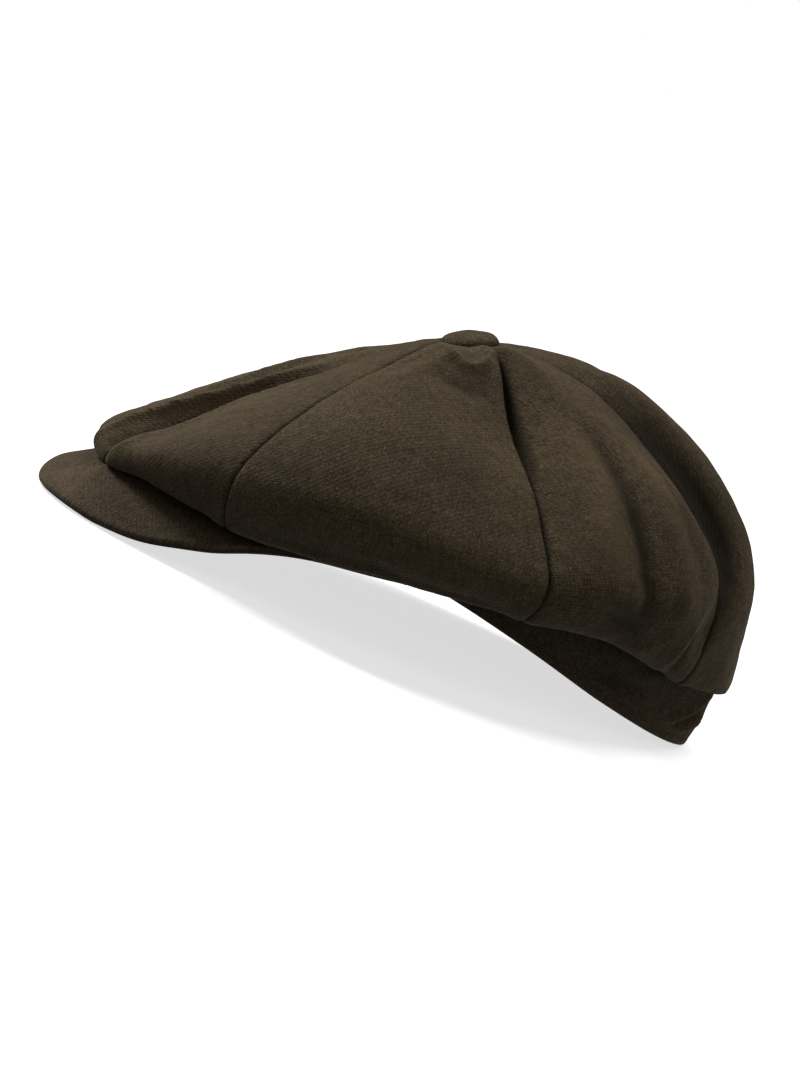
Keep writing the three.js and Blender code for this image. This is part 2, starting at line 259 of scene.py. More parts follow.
def write_tone(obj: bpy.types.Object, tone: Array) -> None:
    """Stores how much paler (above 0) or darker (below 0) the cloth is at each vertex: painted highlight
    and wear, or painted shade.
    """
    layer = obj.data.attributes.new(TONE_MAP, "FLOAT", "POINT")
    layer.data.foreach_set("value", tone.astype(np.float32).reshape(-1))


def face_outward(obj: bpy.types.Object, outward: Array) -> None:
    """Recalculates the normals and turns them the way that points outward.

    Args:
        obj: an open sheet.
        outward: a direction that the middle face's normal should agree with.
    """
    pick(obj)
    bpy.ops.object.mode_set(mode="EDIT")
    bpy.ops.mesh.select_all(action="SELECT")
    bpy.ops.mesh.normals_make_consistent(inside=False)
    bpy.ops.object.mode_set(mode="OBJECT")
    middle = obj.data.polygons[len(obj.data.polygons) // 2]
    if middle.normal.dot(Vector(outward)) < 0.0:
        bpy.ops.object.mode_set(mode="EDIT")
        bpy.ops.mesh.flip_normals()
        bpy.ops.object.mode_set(mode="OBJECT")


def thicken(obj: bpy.types.Object, wall: float) -> None:
    """Gives a sheet its cloth thickness, inward from its outer face.

    Args:
        obj: the sheet.
        wall: thickness in millimetres.
    """
    pick(obj)
    solidify = obj.modifiers.new("thickness", "SOLIDIFY")
    solidify.thickness = wall * MM
    solidify.offset = -1.0
    bpy.ops.object.modifier_apply(modifier=solidify.name)


def shade(obj: bpy.types.Object, degrees: float = 55.0) -> None:
    """Smooth shading that keeps edges sharper than this angle."""
    pick(obj)
    bpy.ops.object.shade_smooth_by_angle(angle=math.radians(degrees))


def add(name: str, primitive: Callable[..., set[str]], **sizes: object) -> bpy.types.Object:
    """Adds a primitive to start a piece from.

    Args:
        name: the piece's name.
        primitive: the operator that adds it.
        sizes: the operator's own settings.

    Returns:
        The new object.
    """
    bpy.ops.object.select_all(action="DESELECT")
    primitive(**sizes)
    obj = bpy.context.object
    obj.name = name
    obj.data.name = name
    return obj


def sheet(name: str, columns: int, rows: int) -> bpy.types.Object:
    """A flat grid that a sheet of cloth is shaped from.

    Args:
        name: the piece's name.
        columns: faces across it.
        rows: faces along it.

    Returns:
        The new piece, 1 m square.
    """
    return add(name, bpy.ops.mesh.primitive_grid_add, x_subdivisions=columns, y_subdivisions=rows, size=1.0)


def grid_shares(obj: bpy.types.Object) -> tuple[Array, Array, Array, Array]:
    """Columns and rows of a flat grid.

    Args:
        obj: the grid, as it was added.

    Returns:
        The columns' shares across from 0 to 1, the rows' shares along from 0 to 1, and each vertex's
        column and row numbers.
    """
    flat = np.round(coordinates(obj), 6)
    across, column = np.unique(flat[:, 0] + 0.5, return_inverse=True)
    along, row = np.unique(0.5 - flat[:, 1], return_inverse=True)
    return across, along, column.reshape(-1), row.reshape(-1)


# Cloth


@dataclass(frozen=True)
class ClothFinish:
    """Dark woven cloth.

    Attributes:
        name: the material's name.
        color: the cloth's middle colour.
        thread: colour that its paler threads and its paler crests, partly wear and partly a painted
            highlight, tend to.
        lint: colour of the specks.
        pitch: distance between threads, in millimetres.
        turn: degrees that the weave is turned by on the piece.
        blotch: share by which broad patches are lighter or darker.
        ground: share of the middle colour in the darker threads, in blotches and in the painted shade.
        paler: (low, high) of the threads' unevenness over which they turn paler, and how far they turn.
        speckle: (low, high) of the noise over which a speck shows, and how far it shows.
        wear_and_highlight: how far a raised crest tends to the paler threads, partly as wear and partly as
            a painted highlight.
        painted_shade: how far the painted shade in hollows, creases and seam grooves takes the cloth toward
            its darkest.
        gloss: specular level.
        sheen: weight and roughness of the nap's sheen.
        sheen_tint: colour of the sheen.
        thread_size: size of a single thread's unevenness, and by how much it is drawn out along it.
        waver: how much a band of threads wavers, and how quickly.
        blotches: (size, detail) of the small and the broad patches.
        speck_size: size of the specks.
        crumples: (size, detail, strength, depth in millimetres) of the cloth's small relief.
        weave_relief: strength and depth in millimetres of the weave's relief.
    """

    name: str
    color: tuple[float, float, float] = (0.036, 0.0247, 0.0120)
    thread: tuple[float, float, float] = (0.084, 0.061, 0.033)
    lint: tuple[float, float, float] = (0.15, 0.115, 0.072)
    pitch: float = 0.8
    turn: float = 0.0
    blotch: float = 0.16
    ground: tuple[float, float, float] = (0.66, 0.45, 0.22)
    paler: tuple[float, float, float] = (0.40, 0.62, 0.85)
    speckle: tuple[float, float, float] = (0.62, 0.73, 0.62)
    wear_and_highlight: float = 0.40
    painted_shade: float = 0.92
    gloss: float = 0.05
    sheen: tuple[float, float] = (0.07, 0.40)
    sheen_tint: tuple[float, float, float] = (1.0, 0.80, 0.50)
    thread_size: tuple[float, float] = (0.6, 0.14)
    waver: tuple[float, float] = (1.6, 0.22)
    blotches: tuple[tuple[float, float], ...] = ((9.0, 3.0), (38.0, 2.0))
    speck_size: float = 0.70
    crumples: tuple[tuple[float, ...], ...] = ((16.0, 4.0, 0.55, 1.1), (2.4, 2.0, 0.35, 0.20))
    weave_relief: tuple[float, float] = (0.85, 0.16)

    def make(self) -> bpy.types.Material:
        """Builds the material's nodes.

        Returns:
            The material.
        """
        material = bpy.data.materials.new(self.name)
        material.use_nodes = True
        tree = material.node_tree
        tree.nodes.clear()
        output = tree.nodes.new("ShaderNodeOutputMaterial")
        cloth = tree.nodes.new("ShaderNodeBsdfPrincipled")
        tree.links.new(cloth.outputs["BSDF"], output.inputs["Surface"])
        cloth.inputs["Specular IOR Level"].default_value = self.gloss
        cloth.inputs["Sheen Weight"].default_value = self.sheen[0]
        cloth.inputs["Sheen Roughness"].default_value = self.sheen[1]
        cloth.inputs["Sheen Tint"].default_value = (*self.sheen_tint, 1.0)
        weave, threads = self._weave(tree)
        tone = self._tone(tree, threads)
        tree.links.new(tone, cloth.inputs["Base Color"])
        tree.links.new(self._roughness(tree), cloth.inputs["Roughness"])
        tree.links.new(self._bump(tree, weave), cloth.inputs["Normal"])
        return material

    def _math(self, tree: bpy.types.NodeTree, kind: str, *values: object) -> bpy.types.NodeSocket:
        """Works out numbers with one Math node.

        Args:
            tree: the material's node tree.
            kind: the node's operation.
            values: numbers or sockets, in the order of its inputs.

        Returns:
            The result.
        """
        node = tree.nodes.new("ShaderNodeMath")
        node.operation = kind
        for socket, value in zip(node.inputs, values):
            if isinstance(value, bpy.types.NodeSocket):
                tree.links.new(value, socket)
            else:
                socket.default_value = float(value)
        return node.outputs[0]

    def _flat(self, tree: bpy.types.NodeTree) -> bpy.types.NodeSocket:
        """The cloth's flat coordinates, turned to the weave's direction.

        Args:
            tree: the material's node tree.

        Returns:
            The coordinates.
        """
        uv = tree.nodes.new("ShaderNodeUVMap")
        uv.uv_map = WEAVE_MAP
        mapping = tree.nodes.new("ShaderNodeMapping")
        mapping.inputs["Rotation"].default_value = (0.0, 0.0, math.radians(self.turn))
        tree.links.new(uv.outputs["UV"], mapping.inputs["Vector"])
        return mapping.outputs["Vector"]

    def _noise(
        self, tree: bpy.types.NodeTree, vector: bpy.types.NodeSocket, size: float, detail: float = 3.0
    ) -> bpy.types.NodeSocket:
        """Noise whose patches are about size millimetres.

        Args:
            tree: the material's node tree.
            vector: coordinates to read it at.
            size: patch size in millimetres.
            detail: octaves of finer noise.

        Returns:
            The noise, 0 to 1.
        """
        noise = tree.nodes.new("ShaderNodeTexNoise")
        noise.inputs["Scale"].default_value = 1.0 / (size * MM)
        noise.inputs["Detail"].default_value = detail
        noise.inputs["Roughness"].default_value = 0.55
        tree.links.new(vector, noise.inputs["Vector"])
        return noise.outputs["Fac"]

    def _bands(
        self, tree: bpy.types.NodeTree, vector: bpy.types.NodeSocket, direction: str, pitch: float
    ) -> bpy.types.NodeSocket:
        """Slightly uneven bands of threads.

        Args:
            tree: the material's node tree.
            vector: coordinates to read them at.
            direction: X, Y or DIAGONAL.
            pitch: distance between bands in millimetres.

        Returns:
            The bands, 0 to 1.
        """
        wave = tree.nodes.new("ShaderNodeTexWave")
        wave.bands_direction = direction
        wave.inputs["Scale"].default_value = math.pi / 10.0 / (pitch * MM)
        wave.inputs["Distortion"].default_value = self.waver[0]
        wave.inputs["Detail"].default_value = 2.0
        wave.inputs["Detail Scale"].default_value = self.waver[1]
        tree.links.new(vector, wave.inputs["Vector"])
        return wave.outputs["Fac"]

    def _weave(self, tree: bpy.types.NodeTree) -> tuple[bpy.types.NodeSocket, bpy.types.NodeSocket]:
        """Over and under of the threads.

        Args:
            tree: the material's node tree.

        Returns:
            The weave's height, and the unevenness of its single threads, both 0 to 1.
        """
        flat = self._flat(tree)
        warp = self._bands(tree, flat, "X", self.pitch)
        weft = self._bands(tree, flat, "Y", self.pitch)
        twill = self._bands(tree, flat, "DIAGONAL", 1.6 * self.pitch)
        crossing = self._math(tree, "MULTIPLY", warp, weft)
        weave = self._math(tree, "MULTIPLY_ADD", twill, 0.55, crossing)
        size, share = self.thread_size
        stretched = []
        for scale in ((1.0, share, 1.0), (share, 1.0, 1.0)):
            mapping = tree.nodes.new("ShaderNodeMapping")
            mapping.inputs["Scale"].default_value = scale
            tree.links.new(flat, mapping.inputs["Vector"])
            stretched.append(self._noise(tree, mapping.outputs["Vector"], size, 2.0))
        half = self._math(tree, "MULTIPLY", stretched[1], 0.5)
        return weave, self._math(tree, "MULTIPLY_ADD", stretched[0], 0.5, half)

    def _mix(
        self, tree: bpy.types.NodeTree, share: bpy.types.NodeSocket, first: object, second: object
    ) -> bpy.types.NodeSocket:
        """Mixes two colours.

        Args:
            tree: the material's node tree.
            share: share of the second colour.
            first: a colour or a socket.
            second: a colour or a socket.

        Returns:
            The mixed colour.
        """
        mix = tree.nodes.new("ShaderNodeMix")
        mix.data_type = "RGBA"
        tree.links.new(share, mix.inputs["Factor"])
        for socket, value in zip((mix.inputs[6], mix.inputs[7]), (first, second)):
            if isinstance(value, bpy.types.NodeSocket):
                tree.links.new(value, socket)
            else:
                socket.default_value = (*value, 1.0)
        return mix.outputs[2]

    def _range(
        self,
        tree: bpy.types.NodeTree,
        value: bpy.types.NodeSocket,
        span: tuple[float, float],
        result: tuple[float, float],
    ) -> bpy.types.NodeSocket:
        """Maps a range of values, clamped, to another range.

        Args:
            tree: the material's node tree.
            value: what is mapped.
            span: the values that the range runs between.
            result: what they become.

        Returns:
            The mapped value.
        """
        node = tree.nodes.new("ShaderNodeMapRange")
        for socket, number in zip(list(node.inputs)[1:5], (*span, *result)):
            socket.default_value = number
        tree.links.new(value, node.inputs[0])
        return node.outputs[0]

    def _tone(self, tree: bpy.types.NodeTree, threads: bpy.types.NodeSocket) -> bpy.types.NodeSocket:
        """Colour of the cloth: blotches, uneven threads, specks of lint, paler crests and painted shade.

        Args:
            tree: the material's node tree.
            threads: unevenness of the single threads.

        Returns:
            The base colour.
        """
        darker, dark, darkest = (tuple(part * share for part in self.color) for share in self.ground)
        low, high, most = self.paler
        thread_share = self._range(tree, threads, (low, high), (0.0, most))
        color = self._mix(tree, thread_share, darker, self.thread)
        place = self._place(tree)
        small, broad = (self._noise(tree, place, size, detail) for size, detail in self.blotches)
        patches = self._math(tree, "MULTIPLY_ADD", small, 0.45, self._math(tree, "MULTIPLY", broad, 0.55))
        shade_share = self._range(tree, patches, (0.38, 0.62), (2.0 * self.blotch, 0.0))
        color = self._mix(tree, shade_share, color, dark)
        low, high, most = self.speckle
        specks = self._noise(tree, place, self.speck_size, 1.0)
        speck_share = self._range(tree, specks, (low, high), (0.0, most))
        color = self._mix(tree, speck_share, color, self.lint)
        # Painted light from the tone attribute: above 0 the cloth turns paler (partly wear, partly a
        # painted highlight), below 0 it takes painted shade.
        tone = tree.nodes.new("ShaderNodeAttribute")
        tone.attribute_name = TONE_MAP
        wear_and_highlight = self._range(tree, tone.outputs["Fac"], (0.0, 1.0), (0.0, self.wear_and_highlight))
        color = self._mix(tree, wear_and_highlight, color, self.thread)
        painted_shade = self._range(tree, tone.outputs["Fac"], (-1.0, 0.0), (self.painted_shade, 0.0))
        return self._mix(tree, painted_shade, color, darkest)

    def _place(self, tree: bpy.types.NodeTree) -> bpy.types.NodeSocket:
        """Positions in the cap's own frame."""
        return tree.nodes.new("ShaderNodeTexCoord").outputs["Object"]

    def _roughness(self, tree: bpy.types.NodeTree) -> bpy.types.NodeSocket:
        """Roughness that varies a little in patches."""
        return self._range(tree, self._noise(tree, self._place(tree), 6.0), (0.3, 0.7), (0.72, 0.88))

    def _bump(self, tree: bpy.types.NodeTree, weave: bpy.types.NodeSocket) -> bpy.types.NodeSocket:
        """Relief of the weave over the cloth's small crumples.

        Args:
            tree: the material's node tree.
            weave: height of the weave.

        Returns:
            The bumped normal.
        """
        place = self._place(tree)
        layers = [
            (self._noise(tree, place, size, detail), strength, depth)
            for size, detail, strength, depth in self.crumples
        ]
        normal = None
        for height, strength, distance in (*layers, (weave, *self.weave_relief)):
            bump = tree.nodes.new("ShaderNodeBump")
            bump.inputs["Strength"].default_value = strength
            bump.inputs["Distance"].default_value = distance * MM
            tree.links.new(height, bump.inputs["Height"])
            if normal is not None:
                tree.links.new(normal, bump.inputs["Normal"])
            normal = bump.outputs["Normal"]
        return normal


class Slot(Enum):
    """The cap's material slots."""

    CROWN = "crown_cloth"
    BAND = "band_cloth"
    PEAK = "peak_cloth"
    BUTTON = "button_cloth"


def finish_piece(
    obj: bpy.types.Object, material: bpy.types.Material, nodes: Iterable[str] = ()
) -> None:
    """Dresses a piece and ties it to the frame.

    Args:
        obj: the finished piece.
        material: its cloth.
        nodes: the CAD nodes that it stands for.
    """
    obj.data.materials.clear()
    obj.data.materials.append(material)
    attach(obj, "root")
    named = list(nodes)
    if named:
        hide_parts(*named)


# The cap's form


@dataclass
class BandForm:
    """The oval that the band runs on.

    Attributes:
        middle_y: how far behind the button's axis the oval's middle lies.
        half_length: half of the oval from front to back.
        half_width: half of the oval from side to side.
        lap: how far the band's top reaches up inside the crown.
        clear: gap between the band and what is sewn round it.
        angles: degrees round the oval, from the front, of the rows that follow.
        lower_rows: height of the band's lower edge.
        strip_rows: height of the strip itself.
        flare_rows: how far its top stands out beyond its lower edge.
        bulge_rows: how far it bulges half-way up.
    """

    middle_y: float = 36.7
    half_length: float = 104.0
    half_width: float = 83.0
    lap: float = 3.0
    clear: float = 0.5
    angles: tuple[float, ...] = (0, 45, 75, 90, 112, 135, 158, 180)
    lower_rows: tuple[float, ...] = (33, 31.5, 25.5, 20, 10.5, 3.4, 0, 0)
    strip_rows: tuple[float, ...] = (12, 24, 30, 32, 33, 34, 34, 34)
    flare_rows: tuple[float, ...] = (2, 2, 2, 2.1, 2.3, 2.6, 2.5, 1.0)
    bulge_rows: tuple[float, ...] = (0, 0, 0, 0.4, 1.0, 1.6, 1.6, 1.6)

    def _both_sides(self, values: Sequence[float], at: Array) -> Array:
        """Reads rows that are the same on both sides of the cap."""
        angles = list(self.angles) + [360.0 - angle for angle in self.angles[-2:0:-1]]
        return closed_curve(angles, list(values) + list(values[-2:0:-1]), at)

    def lower(self, angle: Array) -> Array:
        """Height of the band's lower edge."""
        return np.maximum(0.0, self._both_sides(self.lower_rows, angle))

    def strip(self, angle: Array) -> Array:
        """Height of the strip itself."""
        return self._both_sides(self.strip_rows, angle)

    def flare(self, angle: Array) -> Array:
        """How far the top of the strip stands out beyond its lower edge."""
        return self._both_sides(self.flare_rows, angle)

    def bulge(self, angle: Array) -> Array:
        """How far the strip bulges half-way up."""
        return self._both_sides(self.bulge_rows, angle)

    def oval(self, angle: Array, grow: Array | float) -> Array:
        """Points of the oval.

        Args:
            angle: degrees round the oval from the front.
            grow: millimetres that the oval is grown outward by.

        Returns:
            x and y from the button's axis.
        """
        turn = np.radians(angle)
        x = (self.half_width + grow) * np.sin(turn)
        y = self.middle_y - (self.half_length + grow) * np.cos(turn)
        return np.stack([x, y], -1)

    def meet(self, azimuth: Array, grow: Array | float) -> tuple[Array, Array]:
        """Where a ray from the button's axis meets the oval.

        Args:
            azimuth: degrees of the ray from the front.
            grow: millimetres that the oval is grown by.

        Returns:
            The radius from the axis and the angle round the oval.
        """
        length = self.half_length + grow
        width = self.half_width + grow
        dx = np.sin(np.radians(azimuth))
        dy = -np.cos(np.radians(azimuth))
        square = (dx / width) ** 2 + (dy / length) ** 2
        linear = -2.0 * dy * self.middle_y / length**2
        plain = (self.middle_y / length) ** 2 - 1.0
        radius = (-linear + np.sqrt(linear * linear - 4.0 * square * plain)) / (2.0 * square)
        angle = np.degrees(np.arctan2(radius * dx / width, -(radius * dy - self.middle_y) / length))
        return radius, angle


@dataclass(frozen=True)
class SeamRow:
    """A crown seam.

    Attributes:
        azimuth: where it starts.
        near, mid, shoulder, side, fold: (radius, height) from near the button down to the fold.
        drift: how many degrees further round it lies half-way down than at its ends.
        flat: millimetres from the seat that it lies flat for, before it draws the cloth in.
    """

    azimuth: float
    near: tuple[float, float]
    mid: tuple[float, float]
    shoulder: tuple[float, float]
    side: tuple[float, float]
    fold: tuple[float, float]
    drift: float = 0.0
    flat: float = 0.0

    def stations(self) -> tuple[tuple[float, float], ...]:
        """The seam's stations in order."""
        return (self.near, self.mid, self.shoulder, self.side, self.fold)


@dataclass(frozen=True)
class PanelRow:
    """A crown panel between two seams.

    Attributes:
        node: the CAD node that the panel stands for.
        swell: how far it swells.
        crest: share across it where its crest runs.
        powers: how bluntly it swells from its first seam and from its second; lower is blunter.
        hem_lift: how much higher its fold hangs in its middle than at its seams.
    """

    node: str
    swell: float
    crest: float
    powers: tuple[float, float]
    hem_lift: float


SEAMS = (
    SeamRow(0, (25, 91), (55, 63), (88, 33), (110, 21), (109, 17)),
    SeamRow(41, (26, 101), (53, 87), (93, 64), (116, 38), (108, 21)),
    SeamRow(97, (26, 108), (57, 89), (104, 67), (129, 48), (122, 35)),
    SeamRow(140, (26, 112.2), (61, 108.3), (107.5, 87.5), (129, 65), (127, 29), 6.0, 62.0),
    SeamRow(180, (26, 112.8), (62.5, 111.5), (109.5, 84.5), (132.5, 61), (146, 25)),
    SeamRow(220, (26, 109.7), (60, 104), (105.5, 83.5), (126.5, 63.5), (127, 29), -6.0, 62.0),
    SeamRow(263, (26, 102), (56, 84), (102, 63), (125, 46), (119, 33)),
    SeamRow(319, (26, 93.5), (53, 75), (88, 46), (110, 28), (106, 20)),
)
PANELS = (
    PanelRow("crown_panel_front_left", 6.0, 0.30, (0.7, 1.1), 4.0),
    PanelRow("crown_panel_side_front_left", 6.0, 0.50, (0.6, 0.8), 0.0),
    PanelRow("crown_panel_side_back_left", 7.0, 0.34, (0.7, 1.5), 4.5),
    PanelRow("crown_panel_back_left", 7.8, 0.46, (1.1, 0.8), 0.0),
    PanelRow("crown_panel_back_right", 8.0, 0.54, (0.8, 1.1), 0.0),
    PanelRow("crown_panel_side_back_right", 7.0, 0.66, (1.5, 0.7), 4.0),
    PanelRow("crown_panel_side_front_right", 5.0, 0.50, (0.8, 0.6), 0.0),
    PanelRow("crown_panel_front_right", 6.5, 0.72, (1.1, 0.7), 3.0),
)
# What 1 mm of swell does at each station: outward and upward.
SWELL_MOVES = ((0.02, 0.1), (0.25, 0.6), (0.4, 0.9), (0.35, 0.3), (0.15, -0.05))

# Folds that only the wearer's right side has: two ridges beyond the front seam and the hollow between them.
FAR_FOLDS = (
    Fold(((353, 5, 0.8), (351, 4.4, 3), (350, 3.8, 4.2), (349, 3.2, 3.4), (347, 2.6, 0.6)), 2.2, 3.5, 1.2),
    Fold(((344, 5, -0.6), (342, 4.4, -1.8), (341, 3.8, -2.6), (339, 3.2, -1.8), (337, 2.6, 0)), 4.0, 3.0),
    Fold(((336, 4.2, 0.4), (334, 3.6, 1.8), (331, 3.0, 2.0), (328, 2.5, 0.6)), 2.2, 3.0, 1.2),
)
# Folds that only the wearer's left side has: a soft ridge that branches under the button.
BUTTON_FOLDS = (
    Fold(
        ((50, 1.9, 0.3), (58, 2.15, 2.3), (66, 2.35, 2.8), (73, 2.45, 2.5), (80, 2.4, 2.4), (87, 2.2, 1.4)),
        2.2,
        3.0,
        1.2,
    ),
    Fold(((62, 2.4, 1.2), (57, 2.8, 0.9), (54, 3.2, 0.0)), 3.5, 3.5),
    Fold(((60, 2.75, 0.0), (69, 2.85, -1.1), (80, 2.8, -1.0), (88, 2.6, 0.0)), 4.0, 5.0),
    Fold(((85, 1.3, 0.2), (90, 1.55, 0.9), (94, 1.95, 0.9)), 2.5, 3.0),
)
# Folds of the near side, as (azimuth, station, height).
NEAR_FOLDS = (
    # The front panel's crest, running from the peak's corner up to the next seam near the button.
    Fold(
        ((6, 5.3, 0.6), (10, 4.8, 1.6), (12, 4.2, 2.0), (14, 3.6, 2.0), (17, 2.9, 1.6), (22, 2.2, 0.8)),
        3.0,
        10.0,
        1.3,
    ),
    Fold(
        ((0, 5.4, -1.0), (1, 4.8, -2.8), (2, 4.2, -3.8), (3, 3.6, -3.6), (5, 2.9, -2.4), (8, 2.2, -0.8)),
        5.0,
        4.5,
    ),
    # The deep tuck beside the second seam, and the ridge behind it.
    Fold(
        (
            (98.3, 1.6, -1.0), (98.5, 2.0, -4.0), (98.3, 2.6, -5.6),
            (98.0, 3.1, -4.4), (97.7, 3.6, -2.2), (97.3, 4.1, 0.0),
        ),
        0.9,
        1.9,
        2.4,
    ),
    Fold(((101, 1.5, 0.8), (107, 1.9, 2.4), (113, 2.2, 2.4), (116, 2.6, 1), (117, 3, 0)), 3.5, 4.5, 1.5),
    # Where the second panel's edge turns under, sharper than on the others.
    Fold(((43, 5.55, 0.2), (50, 5.45, 1.2), (70, 5.42, 1.4), (88, 5.4, 1), (96, 5.5, 0.2)), 2.0, 10.0, 1.5),
    Fold(((44, 5.8, 0.0), (54, 5.75, -0.9), (74, 5.75, -1.0), (86, 5.75, -0.8), (95, 5.8, 0.0)), 2.5, 2.5),
    # Soft upright folds on the third panel.
    Fold(((111, 3, 0), (109, 3.6, 2), (106.5, 4.2, 2.6), (106, 4.8, 2.2), (108, 5.3, 0.6)), 7.0, 4.5, 1.7),
    Fold(
        (
            (116, 3.0, 0.0), (115, 3.6, -2.8), (113.5, 4.1, -3.4),
            (112.5, 4.7, -3.2), (114, 5.2, -2.2), (118, 5.6, 0.0),
        ),
        4.5,
        3.2,
    ),
    Fold(
        ((124, 3.0, 0.0), (121.5, 3.6, 1.8), (119.5, 4.2, 2.4), (120, 4.9, 1.8), (124, 5.5, 0.6)),
        3.5,
        8.0,
        1.7,
    ),
    Fold(((127, 3.4, 0.0), (126, 3.9, -1.0), (125, 4.4, -1.2), (125, 4.9, 0.0)), 4.0, 4.0),
    Fold(((104, 5.1, 0.0), (108, 5.35, -1.6), (114, 5.55, -1.8), (119, 5.75, -0.8)), 3.0, 4.0),
    # The dark valley down the third seam, and the crease at its foot.
    Fold(
        (
            (140, 2.7, 0.0), (141, 3.2, -2.4), (141.5, 3.8, -5.6), (141, 4.4, -7.2),
            (140, 4.9, -6.2), (138.5, 5.3, -3.0), (137, 5.7, 0.0),
        ),
        14.0,
        9.0,
    ),
    Fold(((132.5, 5.45, -0.6), (133, 5.7, -1.2), (134, 6.0, -0.8)), 2.0, 2.0, 1.5),
    Fold(((129, 5.2, 0.4), (129, 5.7, 1.6), (130, 6.1, 0.8)), 3.0, 3.0, 1.5),
    # The lobe at the back.
    Fold(((152, 3.8, 0.0), (153, 4.4, 0.6), (153, 5.0, 0.8), (151, 5.7, 0.6)), 8.0, 9.0),
    Fold(((163, 4.2, 0.0), (164, 4.8, -1.4), (163, 5.4, -1.4), (161, 5.9, 0.0)), 5.0, 6.0),
)
BAND_FOLDS = (
    Fold(((130, 5, 0.0), (136, 9, 2.2), (142, 15, 2.6), (148, 21, 1.8), (153, 25, 0.2)), 1.6, 2.8, 1.3),
    Fold(((137, 4, 0.0), (143, 7, 2.0), (149, 10, 2.0), (155, 13, 1.0), (160, 15, 0.0)), 1.6, 2.6, 1.3),
    Fold(((133, 4, 0.0), (140, 9, -1.6), (148, 15, -1.6), (156, 20, 0.0)), 2.0, 2.0),
    Fold(((112, 10, 0.0), (118, 15, 1.6), (124, 22, 1.2)), 3.0, 3.5, 1.5),
    Fold(((104, 6, 0.0), (110, 9, -1.4), (118, 12, -1.2)), 3.0, 3.0),
)


